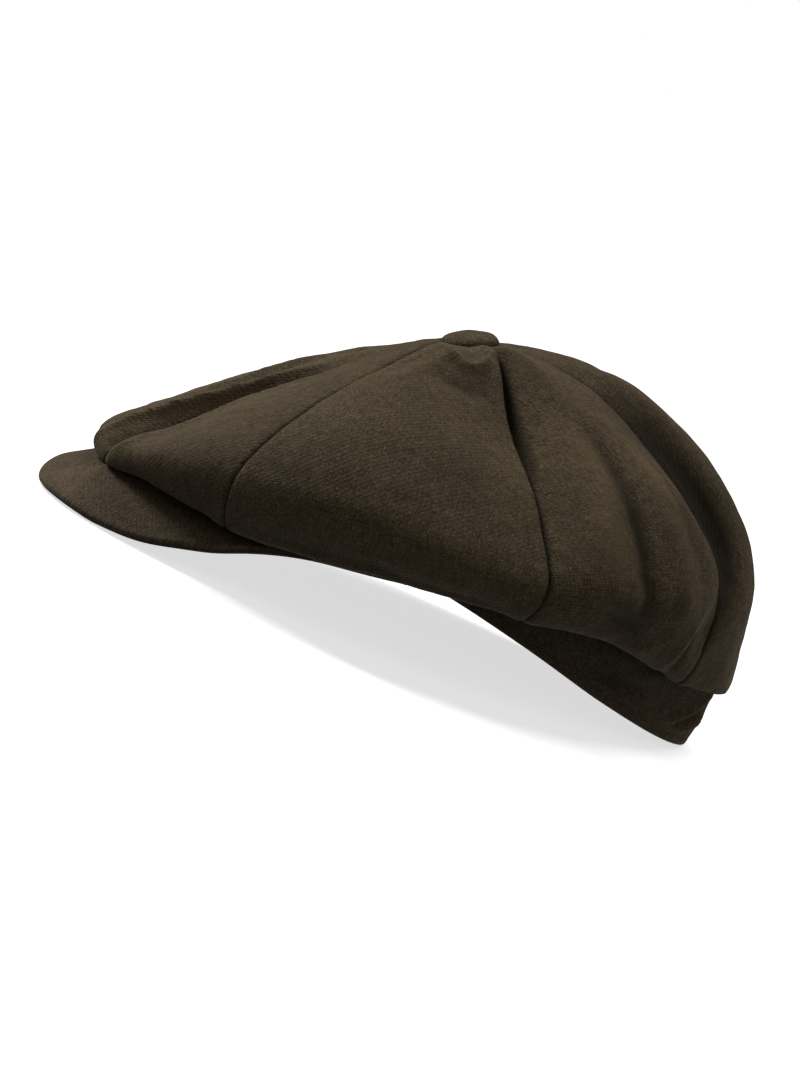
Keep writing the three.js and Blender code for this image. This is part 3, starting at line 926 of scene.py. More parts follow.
@dataclass
class CrownForm:
    """The crown's outer face: seams, swelling panels and folds.

    Attributes:
        band: the oval that the crown is sewn to.
        seat_height: height of the seat's middle under the button.
        seat_tilt: how much the seat leans toward the front.
        seat_radii: radii of the seat's first two stations.
        lip: depth and width of the dip at a seam.
        allowance: how proud the cloth stands over the turned edges beside a seam.
        turned: millimetres from a seam between which the turned edges end.
        pucker: height of the small puckers along a seam.
        pucker_lengths: usual distances between puckers.
        pucker_reach: how far from a seam its puckers reach.
        pucker_seed: seed of the first seam's puckers.
        slack: how much less a seam draws the cloth in where it lies flat.
        release: millimetres over which a flat seam becomes a drawn one.
        sway: (height, wavelength, seed) of the broad and the small ripples.
        fold_reach: degrees beyond which a fold isn't felt.
        start: millimetres from the seat between which seams and folds begin.
        drift_in: shares of the way down between which a seam leaves its azimuth.
        drift_out: shares between which it comes back.
        seat_blend: millimetres beyond the seat over which the cloth takes its own direction.
        seam_blend: the same, beside a seam.
        folds: the near side's folds, which both sides get.
        far_share: share of their height that the far side's have.
    """

    band: BandForm
    seat_height: float = 105.5
    seat_tilt: float = 0.36
    seat_radii: tuple[float, float] = (0.2, 10.5)
    lip: tuple[float, float] = (2.7, 2.1)
    allowance: float = 0.2
    turned: tuple[float, float] = (4.5, 7.5)
    pucker: float = 0.05
    pucker_lengths: tuple[float, ...] = (6.5, 9.5, 14.0, 23.0)
    pucker_reach: float = 4.5
    pucker_seed: int = 40
    slack: float = 0.8
    release: float = 30.0
    sway: tuple[tuple[float, float, int], ...] = ((0.35, 30.0, 11), (0.07, 8.0, 12))
    fold_reach: float = 30.0
    start: tuple[float, float] = (4.0, 16.0)
    drift_in: tuple[float, float] = (0.0, 0.4)
    drift_out: tuple[float, float] = (0.6, 0.84)
    seat_blend: float = 15.0
    seam_blend: float = 1.5
    folds: tuple[Fold, ...] = field(default_factory=lambda: NEAR_FOLDS)
    far_share: float = 0.8

    def __post_init__(self) -> None:
        """Mirrors the near side's folds on to the far side, a little softer."""
        mirrored = tuple(fold.mirrored(self.far_share) for fold in self.folds)
        self.folds = (*self.folds, *mirrored, *BUTTON_FOLDS, *FAR_FOLDS)

    def span(self, panel: int) -> tuple[float, float]:
        """Azimuths of a panel's two seams."""
        last = panel + 1 == len(SEAMS)
        return SEAMS[panel].azimuth, 360.0 if last else SEAMS[panel + 1].azimuth

    def swell(self, panel: int, azimuth: Array) -> Array:
        """Swell of a panel: nothing on its seams, most along its crest.

        Args:
            panel: the panel's number.
            azimuth: degrees of the runs.

        Returns:
            Swell in millimetres.
        """
        start, end = self.span(panel)
        across = np.clip((azimuth - start) / (end - start), 0.0, 1.0)
        row = PANELS[panel]
        rising = across < row.crest
        share = np.where(rising, across / row.crest, (1.0 - across) / (1.0 - row.crest))
        return row.swell * np.sin(math.pi / 2.0 * share) ** np.where(rising, *row.powers)

    def knots(self, panel: int, azimuth: Array) -> tuple[Array, Array]:
        """Points that the panel's runs pass through, from the seat to the band.

        Args:
            panel: the panel's number.
            azimuth: degrees of the runs.

        Returns:
            (radius, height) of each station by run, and each station's time on the run's curve.
        """
        swell = self.swell(panel, azimuth)
        lean = self.seat_tilt * np.cos(np.radians(azimuth))
        points = []
        for radius in self.seat_radii:
            points.append(np.stack([np.full_like(azimuth, radius), self.seat_height - lean * radius]))
        seams = [row.azimuth for row in SEAMS]
        for number, (outward, upward) in enumerate(SWELL_MOVES):
            radius = closed_curve(seams, [row.stations()[number][0] for row in SEAMS], azimuth)
            height = closed_curve(seams, [row.stations()[number][1] for row in SEAMS], azimuth)
            points.append(np.stack([radius + outward * swell, height + upward * swell]))
        start, end = self.span(panel)
        middling = np.sin(math.pi * np.clip((azimuth - start) / (end - start), 0.0, 1.0))
        points[-1][1] += PANELS[panel].hem_lift * middling
        _, angle = self.band.meet(azimuth, 0.0)
        radius, angle = self.band.meet(azimuth, self.band.clear + self.band.flare(angle))
        seam = np.stack([radius, self.band.lower(angle) + self.band.strip(angle) - self.band.lap])
        under = (points[-1] + seam) / 2.0
        under[1] += np.cos(np.radians(azimuth)) - 1.0
        knots = np.array([*points, under, seam])
        chords = np.hypot(*np.diff(knots, axis=0).transpose(1, 0, 2))
        times = np.concatenate([np.zeros((1, len(azimuth))), np.cumsum(np.sqrt(chords), 0)])
        return knots, times

    def runs(self, panel: int, azimuth: Array, shares: Array) -> tuple[Array, Array, Array]:
        """The panel's runs before folds.

        Args:
            panel: the panel's number.
            azimuth: degrees of the runs.
            shares: shares of the way from the seat to the band.

        Returns:
            Positions, station numbers and millimetres from the seat, each by share and run.
        """
        knots, times = self.knots(panel, azimuth)
        points = np.zeros((len(shares), len(azimuth), 3))
        stations = np.zeros((len(shares), len(azimuth)))
        drift = closed_curve([row.azimuth for row in SEAMS], [row.drift for row in SEAMS], azimuth)
        for j in range(len(azimuth)):
            drifting = ease(*self.drift_in, shares) * (1.0 - ease(*self.drift_out, shares))
            turn = np.radians(azimuth[j] + drift[j] * drifting)
            at = shares * times[-1, j]
            radius = smooth_curve(times[:, j], knots[:, 0, j], at)
            height = smooth_curve(times[:, j], knots[:, 1, j], at)
            points[:, j] = np.stack([radius * np.sin(turn), -radius * np.cos(turn), height], 1)
            stations[:, j] = np.interp(at, times[:, j], np.arange(len(knots)))
        steps = np.linalg.norm(np.diff(points, axis=0), axis=-1)
        along = np.concatenate([np.zeros((1, len(azimuth))), np.cumsum(steps, 0)])
        return points, stations, along

    def _place_of(self, azimuth: float, station: float) -> float:
        """Distance from the seat to a station.

        Args:
            azimuth: degrees of the run.
            station: the station's number, which need not be whole.

        Returns:
            Millimetres along the run.
        """
        azimuth %= 360.0
        panel = max(i for i, row in enumerate(SEAMS) if row.azimuth <= azimuth)
        _, stations, along = self.runs(panel, np.array([azimuth]), np.linspace(0.0, 1.0, 120))
        return float(np.interp(station, stations[:, 0], along[:, 0]))

    def fold_places(self) -> list[list[float]]:
        """Millimetres from the seat to each row of each fold."""
        return [[self._place_of(row[0], row[1]) for row in fold.line] for fold in self.folds]

    def relief(
        self, panel: int, azimuth: Array, points: Array, along: Array, places: Sequence[Sequence[float]]
    ) -> Array:
        """Height of seams, folds and ripples over the smooth panel.

        Args:
            panel: the panel's number.
            azimuth: degrees of the runs.
            points: the smooth panel's positions, by share and run.
            along: millimetres from the seat.
            places: each fold's rows in millimetres from the seat.

        Returns:
            Millimetres that each point is lifted by.
        """
        start, end = self.span(panel)
        radius = np.hypot(points[..., 0], points[..., 1])
        per_degree = radius * PER_DEGREE
        angle = np.broadcast_to(azimuth, radius.shape)
        height = np.zeros(radius.shape)
        for fold, rows in zip(self.folds, places):
            angles = [row[0] for row in fold.line]
            if min(angles) - self.fold_reach < end and max(angles) + self.fold_reach > start:
                height += fold.height(angle, along, per_degree, rows)
        height += sum(lift * ripples(points, length, seed) for lift, length, seed in self.sway)
        for edge, number in ((start, panel), (end, (panel + 1) % len(SEAMS))):
            distance = np.abs(angle - edge) * per_degree
            height += self._seam_relief(distance, along, number)
        return height * ease(*self.start, along)

    def _seam_relief(self, distance: Array, along: Array, seam: int) -> Array:
        """Dip, turned edges and puckers beside a seam.

        Args:
            distance: millimetres from the seam.
            along: millimetres from the seat.
            seam: the seam's number, which sets its puckers.

        Returns:
            Height in millimetres.
        """
        inside = np.clip(1.0 - distance / self.lip[1], 0.0, 1.0)
        dip = -self.lip[0] * (1.0 - np.sqrt(1.0 - inside**2))
        proud = self.allowance * (1.0 - ease(*self.turned, distance))
        random = np.random.default_rng(self.pucker_seed + seam)
        wave = np.zeros(along.shape)
        for length in self.pucker_lengths:
            stretch = random.uniform(0.85, 1.15)
            wave += np.sin(along * 2.0 * math.pi / (length * stretch) + random.uniform(0, 6.28))
        puckers = self.pucker * wave * np.exp(-distance / self.pucker_reach)
        return (dip + proud) * self.drawn(seam, along) + puckers

    def drawn(self, seam: int, along: Array) -> Array:
        """How much a seam draws the cloth in: little along the part that lies flat."""
        flat = SEAMS[seam].flat
        return 1.0 - self.slack * (1.0 - ease(flat, flat + self.release, along)) * (flat > 0.0)

    def normals(self, panel: int, azimuth: Array, points: Array) -> Array:
        """Outward directions, upright across the seams so that two panels meet there.

        Args:
            panel: the panel's number.
            azimuth: degrees of the runs.
            points: the smooth panel's positions, by share and run.

        Returns:
            Unit directions, by share and run.
        """
        down = np.gradient(points, axis=0)
        across = np.gradient(points, azimuth, axis=1)
        normal = unit(np.cross(down, across))
        turn = np.arctan2(points[..., 0], -points[..., 1])
        aside = np.stack([np.cos(turn), np.sin(turn), np.zeros_like(turn)], -1)
        level = unit(np.cross(down, aside))
        radius = np.hypot(points[..., 0], points[..., 1])
        start, end = self.span(panel)
        nearest = np.minimum(azimuth - start, end - azimuth) * radius * PER_DEGREE
        by_seat = np.clip(1.0 - (radius - self.seat_radii[1]) / self.seat_blend, 0.0, 1.0)
        upright = np.maximum(by_seat, np.exp(-((nearest / self.seam_blend) ** 2)))
        return unit(normal + upright[..., None] * (level - normal))


# The pieces


@dataclass
class Crown:
    """The eight sewn panels of the crown.

    Attributes:
        form: the crown's outer face.
        cloth: the panels' cloth.
        columns: faces across a panel.
        rows: faces along a panel.
        wall: thickness of the cloth.
        crowding: how much the columns crowd toward the seams.
        full_tone: height or depth in millimetres that gives the whole paler crest or the whole painted
            shade of a hollow.
        tone_limits: deepest painted shade and palest crest away from the seams.
        seam_tone: how dark the painted shade along the line of a seam is.
    """

    form: CrownForm
    cloth: bpy.types.Material
    columns: int = 128
    rows: int = 220
    wall: float = 0.9
    crowding: float = 0.8
    full_tone: float = 3.4
    tone_limits: tuple[float, float] = (-0.95, 0.9)
    seam_tone: float = 1.7

    def build(self) -> list[bpy.types.Object]:
        """Makes all the panels.

        Returns:
            The panels in order from the front round the wearer's left.
        """
        places = self.form.fold_places()
        return [self._panel(number, places) for number in range(len(PANELS))]

    def _panel(self, number: int, places: Sequence[Sequence[float]]) -> bpy.types.Object:
        """One panel, crowded with columns near its seams.

        Args:
            number: the panel's number.
            places: each fold's rows in millimetres from the seat.

        Returns:
            The finished panel.
        """
        row = PANELS[number]
        obj = sheet(row.node.replace("crown_panel", "panel"), self.columns, self.rows)
        across, along_shares, column, line = grid_shares(obj)
        across = across - self.crowding * np.sin(2.0 * math.pi * across) / (2.0 * math.pi)
        start, end = self.form.span(number)
        azimuth = start + (end - start) * across
        points, _, along = self.form.runs(number, azimuth, along_shares)
        height = self.form.relief(number, azimuth, points, along, places)
        outer = points + self.form.normals(number, azimuth, points) * height[..., None]
        outer[..., :2] += BUTTON_AXIS
        radius = np.hypot(points[..., 0], points[..., 1])
        flat = np.stack([np.radians(azimuth - (start + end) / 2.0) * radius, along], -1)
        place_vertices(obj, outer[line, column])
        write_weave(obj, flat[line, column])
        # Painted shade and highlight: hollows darkened by their depth, crests paler by their height (partly
        # wear, partly a painted highlight), and a line of painted shade in each seam's groove, fainter
        # where the seam lies flat.
        tone = np.clip(height / self.full_tone, *self.tone_limits)
        for edge, seam in ((azimuth - start, number), (end - azimuth, (number + 1) % len(SEAMS))):
            distance = edge * radius * PER_DEGREE
            tone -= self.seam_tone * np.exp(-(distance**2)) * self.form.drawn(seam, along)
        write_tone(obj, np.clip(tone, -1.0, 1.0)[line, column])
        middle = math.radians((start + end) / 2.0)
        face_outward(obj, np.array([math.sin(middle), -math.cos(middle), 0.5]))
        thicken(obj, self.wall)
        shade(obj)
        finish_piece(obj, self.cloth, [row.node])
        return obj


@dataclass
class Band:
    """The band with its turned hem, its folds and its row of stitches.

    Attributes:
        form: the oval and the band's heights.
        cloth: the band's cloth.
        thread: the stitches' thread.
        wall: thickness of the strip.
        ring: radius of the oval's ring and of its section, in metres, before it is shaped.
        round_segments: faces round the ring.
        section_segments: faces round its section.
        edge: share of the section that its rounded edges take.
        parting: how quickly the strip's two faces part beside an edge.
        per_degree: millimetres that one degree of the oval is.
        weave_radius: radius that the cloth's own coordinates are laid round.
        inner_shift: how far along the cloth the strip's inner face lies from its outer one.
        hem: height of the hem's stitched line above the lower edge.
        groove: depth and width of the stitched line.
        hem_rise: how proud the hem stands, and over how far it ends.
        sway: (height, wavelength, seed) of the broad and the small ripples.
        fold_start: heights above the lower edge between which folds begin.
        stitch: length of a stitch.
        stitch_step: distance between stitches.
        stitch_radius: radius of the thread.
        stitch_spread: how much wider than thick a stitch lies.
    """

    form: BandForm
    cloth: bpy.types.Material
    thread: bpy.types.Material
    wall: float = 2.0
    ring: tuple[float, float] = (0.095, 0.02)
    round_segments: int = 520
    section_segments: int = 72
    edge: float = 0.06
    parting: float = 40.0
    per_degree: float = 1.63
    weave_radius: float = 93.0
    inner_shift: float = 60.0
    hem: float = 3.2
    groove: tuple[float, float] = (0.28, 0.45)
    hem_rise: tuple[float, float] = (0.22, 1.2)
    sway: tuple[tuple[float, float, int], ...] = ((0.30, 26.0, 21), (0.10, 7.0, 22))
    fold_start: tuple[float, float] = (3.5, 7.0)
    stitch: float = 2.3
    stitch_step: float = 3.4
    stitch_radius: float = 0.22
    stitch_spread: float = 1.15

    def build(self) -> list[bpy.types.Object]:
        """Makes the band and its stitches.

        Returns:
            Both pieces.
        """
        return [self._strip(), self._stitches()]

    def _face(self, angle: Array, up: Array, depth: Array | float) -> Array:
        """Points of the band.

        Args:
            angle: degrees round the oval.
            up: height above the band's lower edge.
            depth: millimetres inward from its outer face.

        Returns:
            Positions from the button's axis.
        """
        strip = self.form.strip(angle)
        share = np.clip(up / strip, 0.0, 1.0)
        grow = self.form.flare(angle) * share + self.form.bulge(angle) * np.sin(math.pi * share) - depth
        grow = grow + self._relief(angle, up)
        return np.concatenate([self.form.oval(angle, grow), (self.form.lower(angle) + up)[..., None]], -1)

    def _relief(self, angle: Array, up: Array) -> Array:
        """Height of the hem, its stitched line, folds and ripples on the band.

        Args:
            angle: degrees round the oval.
            up: height above the band's lower edge.

        Returns:
            Millimetres that each point is lifted by.
        """
        total = np.zeros(np.shape(angle))
        around = np.asarray(angle) % 360.0
        per_degree = np.full(np.shape(angle), self.per_degree)
        for fold in (*BAND_FOLDS, *(fold.mirrored() for fold in BAND_FOLDS)):
            total = total + fold.height(around, up, per_degree, [row[1] for row in fold.line])
        groove = -self.groove[0] * np.exp(-(((up - self.hem) / self.groove[1]) ** 2))
        proud = self.hem_rise[0] * (1.0 - ease(self.hem, self.hem + self.hem_rise[1], up))
        place = np.concatenate([self.form.oval(around, 0.0), np.asarray(up)[..., None]], -1)
        sway = sum(lift * ripples(place, length, seed) for lift, length, seed in self.sway)
        return total * ease(*self.fold_start, up) + groove + proud + sway

    def _strip(self) -> bpy.types.Object:
        """The band itself, a ring with a doubled-over edge.

        Returns:
            The finished band.
        """
        obj = add(
            "band_strip",
            bpy.ops.mesh.primitive_torus_add,
            major_segments=self.round_segments,
            minor_segments=self.section_segments,
            major_radius=self.ring[0],
            minor_radius=self.ring[1],
        )
        ring = coordinates(obj)
        angle = np.degrees(np.arctan2(ring[:, 0], -ring[:, 1])) % 360.0
        outward = np.hypot(ring[:, 0], ring[:, 1]) - self.ring[0]
        turn = np.arctan2(ring[:, 2], outward)
        strip = self.form.strip(angle)
        half = self.wall / 2.0
        lift = np.sin(turn) * (1.0 + self.edge)
        rounding = np.maximum(0.0, np.abs(lift) - 1.0) / self.edge
        side = np.where(np.cos(turn) >= 0.0, 1.0, -1.0)
        tuck = np.sqrt(np.clip(1.0 - rounding**2, 0.0, 1.0))
        up = half + (strip - self.wall) * (0.5 + 0.5 * np.clip(lift, -1.0, 1.0))
        up = up + np.sign(lift) * half * rounding
        depth = half - side * half * tuck * np.minimum(1.0, np.abs(np.cos(turn)) * self.parting)
        place_vertices(obj, self._in_frame(self._face(angle, up, depth)))
        around = np.radians(angle) * self.weave_radius
        weave = np.stack([around, up + np.where(side < 0.0, self.inner_shift, 0.0)], -1)
        write_weave(obj, weave, 2.0 * math.pi * self.weave_radius)
        # Painted shade in the band's folds and in its hem's stitched groove; its crests and proud hem
        # paler, partly wear and partly a painted highlight.
        write_tone(obj, np.clip(self._relief(angle, up) / 3.0, -1.0, 1.0))
        shade(obj, 70.0)
        finish_piece(obj, self.cloth, ["band"])
        return obj

    def _in_frame(self, points: Array) -> Array:
        """Moves points from the button's axis to the cap's own middle."""
        return points + np.array([BUTTON_AXIS[0], BUTTON_AXIS[1], 0.0])

    def _stitches(self) -> bpy.types.Object:
        """The row of stitches above the hem.

        Returns:
            The stitches as one piece.
        """
        sphere = bpy.ops.mesh.primitive_uv_sphere_add
        obj = add("band_stitching", sphere, segments=8, ring_count=6, radius=0.5)
        count = int(360.0 * self.per_degree / self.stitch_step)
        pick(obj)
        array = obj.modifiers.new("row", "ARRAY")
        array.count = count
        array.use_relative_offset = False
        array.use_constant_offset = True
        array.constant_offset_displace = (2.0, 0.0, 0.0)
        bpy.ops.object.modifier_apply(modifier=array.name)
        row = coordinates(obj)
        number = np.round(row[:, 0] / 2.0)
        along = row[:, 0] - 2.0 * number
        angle = 360.0 * (number + along * self.stitch / self.stitch_step) / count
        across = row[:, 1] * 2.0 * self.stitch_radius * self.stitch_spread
        hem = np.full(len(angle), self.hem)
        surface = self._face(angle, hem, 0.0)
        outward = self._face(angle, hem, -1.0) - surface
        points = surface + outward * (row[:, 2] * 2.0 * self.stitch_radius)[:, None]
        points[:, 2] += across
        place_vertices(obj, self._in_frame(points))
        write_weave(obj, np.stack([np.radians(angle) * self.weave_radius, self.hem + across], -1))
        write_tone(obj, np.full(len(angle), -0.2))
        shade(obj, 80.0)
        finish_piece(obj, self.thread)
        return obj


@dataclass
class Peak:
    """The peak's two covers, sewn together along its edge.

    Attributes:
        band: the oval that the peak is sewn to.
        cloth: the peak's cloth.
        tip_y: how far in front of the button's axis the tip lies, as a y.
        depth: depth of the curve that the edge follows.
        half_width: half of the peak's width.
        fullness: share by which the edge is fuller between its tip and its ends.
        root_angle: degrees round the oval that the peak's ends reach.
        root_lift: how far above the band's lower edge the peak starts.
        camber: how far its middle rises over a straight line from the band to the edge.
        turns: degrees along the edge, from its tip, of the heights that follow.
        edges: height of the edge.
        thickness: thickness of the peak at its edge.
        seam: height of the seam over the peak's lower face.
        wall: thickness of each cover.
        columns: faces across a cover.
        rows: faces from the band to the edge.
        rim: share of a cover that is rolled over the edge.
        roll: degrees that it is rolled by.
        reach: usual distance from the peak's middle to its edge.
        sway: (height, wavelength, seed) of the ripples.
        seam_tone: how dark the painted shade along the edge's seam is, and how much paler the rolled rim
            beside it is, partly wear and partly a painted highlight.
        seam_start: share of the roll at which the seam's painted shade begins.
    """

    band: BandForm
    cloth: bpy.types.Material
    tip_y: float = -125.4
    depth: float = 112.0
    half_width: float = 83.0
    fullness: float = 0.02
    root_angle: float = 69.0
    root_lift: float = 1.2
    camber: float = 2.5
    turns: tuple[float, ...] = (-90, -67, -52, -38, -25, -10, 0, 25, 38, 52, 67, 90)
    edges: tuple[float, ...] = (27, 21.5, 13.5, 6.8, 2.6, 0.2, 0, 0, 1.8, 9.0, 19.5, 26.5)
    thickness: float = 3.1
    seam: float = 1.95
    wall: float = 0.7
    columns: int = 200
    rows: int = 84
    rim: float = 0.10
    roll: float = 118.0
    reach: float = 58.0
    sway: tuple[float, float, int] = (0.28, 34.0, 31)
    seam_tone: tuple[float, float] = (-0.9, 0.35)
    seam_start: float = 0.55

    def build(self) -> list[bpy.types.Object]:
        """Makes both covers.

        Returns:
            The under cover and the top cover.
        """
        return [self._cover("peak_under_cover", False), self._cover("peak_top_cover", True)]

    def _lower_face(self, side: Array, reach: Array) -> Array:
        """Points of the peak's lower face.

        Args:
            side: -1 to 1 across the peak.
            reach: 0 at the band to 1 at the edge.

        Returns:
            Positions from the button's axis.
        """
        angle = self.root_angle * side
        root = self.band.oval(angle, self.band.clear)
        root_height = self.band.lower(angle) + self.root_lift
        turn = 90.0 * side
        full = 1.0 + self.fullness * np.sin(np.radians(2.0 * turn)) ** 2
        edge_x = self.half_width * full * np.sin(np.radians(turn))
        edge_y = self.tip_y + self.depth * (1.0 - full * np.cos(np.radians(turn)))
        edge_z = smooth_curve(np.asarray(self.turns, float), np.asarray(self.edges, float), turn)
        hump = self.camber * np.sin(math.pi * reach) * np.cos(np.radians(turn))
        x = root[..., 0] * (1.0 - reach) + edge_x * reach
        y = root[..., 1] * (1.0 - reach) + edge_y * reach
        z = root_height * (1.0 - reach) + np.maximum(0.0, edge_z) * reach + hump
        return np.stack([x, y, z], -1)

    def _directions(self, side: Array, reach: Array, point: Array) -> tuple[Array, Array, Array]:
        """Directions on the peak's lower face.

        Args:
            side: -1 to 1 across the peak.
            reach: 0 at the band to 1 at the edge.
            point: the face's positions there.

        Returns:
            Unit directions across the peak, toward its edge and upward out of it.
        """
        step = 1e-3
        across = unit(self._lower_face(side + step, reach) - point)
        outward = unit(self._lower_face(side, reach + step) - point)
        normal = unit(np.cross(outward, across))
        return across, outward, normal * np.sign(normal[:, 2:3])

    def _cover(self, name: str, top: bool) -> bpy.types.Object:
        """One cover, its edge rolled to the seam round the peak.

        Args:
            name: the piece's name.
            top: True for the upper cover.

        Returns:
            The finished cover.
        """
        obj = sheet(name, self.columns, self.rows)
        flat = coordinates(obj)
        side_all = 2.0 * flat[:, 0] * (1.0 + self.rim)
        reach_all = (0.5 - flat[:, 1]) * (1.0 + self.rim)
        side = np.clip(side_all, -1.0, 1.0)
        reach = np.clip(reach_all, 0.0, 1.0)
        roll = np.maximum((np.abs(side_all) - 1.0) / self.rim, (reach_all - 1.0) / self.rim)
        roll = np.clip(roll, 0.0, 1.0)
        radius = self.thickness - self.seam if top else self.seam
        inset = 1.0 - 0.5 * radius / self.reach
        point = self._lower_face(side * inset, reach * inset)
        across, outward, normal = self._directions(side * inset, reach * inset, point)
        push = across * np.sign(side)[:, None] * np.maximum(0.0, np.abs(side_all) - 1.0)[:, None]
        push = unit(push + outward * np.maximum(0.0, reach_all - 1.0)[:, None])
        whole = math.radians(self.roll)
        out = radius * np.sin(roll * whole)
        drop = radius * (1.0 - np.cos(roll * whole)) / (1.0 - math.cos(whole))
        level = self.thickness - drop if top else drop
        lift, length, seed = self.sway
        sway = lift * ripples(point, length, seed) * ease(0.0, 0.3, 1.0 - roll)
        place = point + normal * (level + sway)[:, None] + push * out[:, None]
        place[:, 2] = np.maximum(place[:, 2], 0.0)
        place[:, :2] += BUTTON_AXIS
        place_vertices(obj, place)
        write_weave(obj, point[:, :2])
        # Painted shade where the rolled edges of the two covers meet at the seam; the rolled rim before it
        # paler, partly wear and partly a painted highlight.
        dark = self.seam_tone[0] * ease(self.seam_start, 1.0, roll)
        wear_and_highlight = self.seam_tone[1] * ease(0.0, 0.3, roll)
        write_tone(obj, np.where(roll > self.seam_start, dark, wear_and_highlight))
        face_outward(obj, np.array([0.0, 0.0, 1.0 if top else -1.0]))
        thicken(obj, self.wall)
        shade(obj, 60.0)
        finish_piece(obj, self.cloth, ["peak_top" if top else "peak_under"])
        return obj


@dataclass
class Button:
    """The cloth-covered button where the panels meet.

    Attributes:
        form: the crown that it sits on.
        cloth: the button's cloth.
        segments: faces round it, and from its top round to its back.
        radius: its radius.
        dome: its height.
        lift: how far it stands off the seat.
        back: how far behind the button's axis it sits.
        lean: degrees that it leans toward the front.
        profile: (reach, rise) of its section from the top round to the back, as shares.
        gathers: folds of cloth gathered round its edge.
        gather_height: height of those folds.
        sway: (height, wavelength, seed) of the ripples.
    """

    form: CrownForm
    cloth: bpy.types.Material
    segments: tuple[int, int] = (144, 80)
    radius: float = 10.8
    dome: float = 4.9
    lift: float = 0.4
    back: float = 2.0
    lean: float = 25.0
    profile: tuple[tuple[float, float], ...] = (
        (0.0, 1.0), (0.30, 0.985), (0.58, 0.93), (0.80, 0.80), (0.93, 0.60), (0.995, 0.36), (1.0, 0.18),
        (0.95, 0.03), (0.80, -0.02), (0.45, -0.03), (0.0, -0.03),
    )
    gathers: int = 26
    gather_height: float = 0.13
    sway: tuple[float, float, int] = (0.10, 9.0, 51)

    def build(self) -> bpy.types.Object:
        """Makes the button.

        Returns:
            The finished button.
        """
        round_count, ring_count = self.segments
        sphere = bpy.ops.mesh.primitive_uv_sphere_add
        obj = add("covered_button", sphere, segments=round_count, ring_count=ring_count, radius=1.0)
        ball = coordinates(obj)
        share = np.arccos(np.clip(ball[:, 2], -1.0, 1.0)) / math.pi
        turn = np.arctan2(ball[:, 1], ball[:, 0])
        times = np.linspace(0.0, 1.0, len(self.profile))
        reach = self.radius * smooth_curve(times, np.array([row[0] for row in self.profile]), share)
        rise = self.dome * smooth_curve(times, np.array([row[1] for row in self.profile]), share)
        folds = np.sin(self.gathers * turn + 0.6 * np.sin(3.0 * turn))
        reach = np.maximum(0.0, reach + self.gather_height * ease(0.34, 0.55, share) * folds)
        local = np.stack([reach * np.cos(turn), reach * np.sin(turn), rise + self.lift], -1)
        lift, length, seed = self.sway
        local[:, 2] += lift * ripples(local, length, seed)
        tilt = np.array(Matrix.Rotation(math.radians(self.lean), 3, "X"))
        middle = np.array([0.0, self.back, self.form.seat_height + self.form.seat_tilt * self.back])
        place = local @ tilt.T + middle
        place[:, :2] += BUTTON_AXIS
        place_vertices(obj, place)
        write_weave(obj, local[:, :2])
        # Painted shade on the button's lower side, down to where it meets the crown; its shoulder a little
        # paler.
        write_tone(obj, 0.25 * ease(0.15, 0.45, share) - ease(0.5, 0.75, share))
        shade(obj, 60.0)
        finish_piece(obj, self.cloth, ["button"])
        return obj


# The studio


@dataclass(frozen=True)
class Softbox:
    """A square soft light.

    Attributes:
        name: the light's name.
        azimuth: degrees round from the front at which it stands.
        elevation: degrees above the cap's level.
        power: watts.
        size: side in metres.
    """

    name: str
    azimuth: float
    elevation: float
    power: float
    size: float


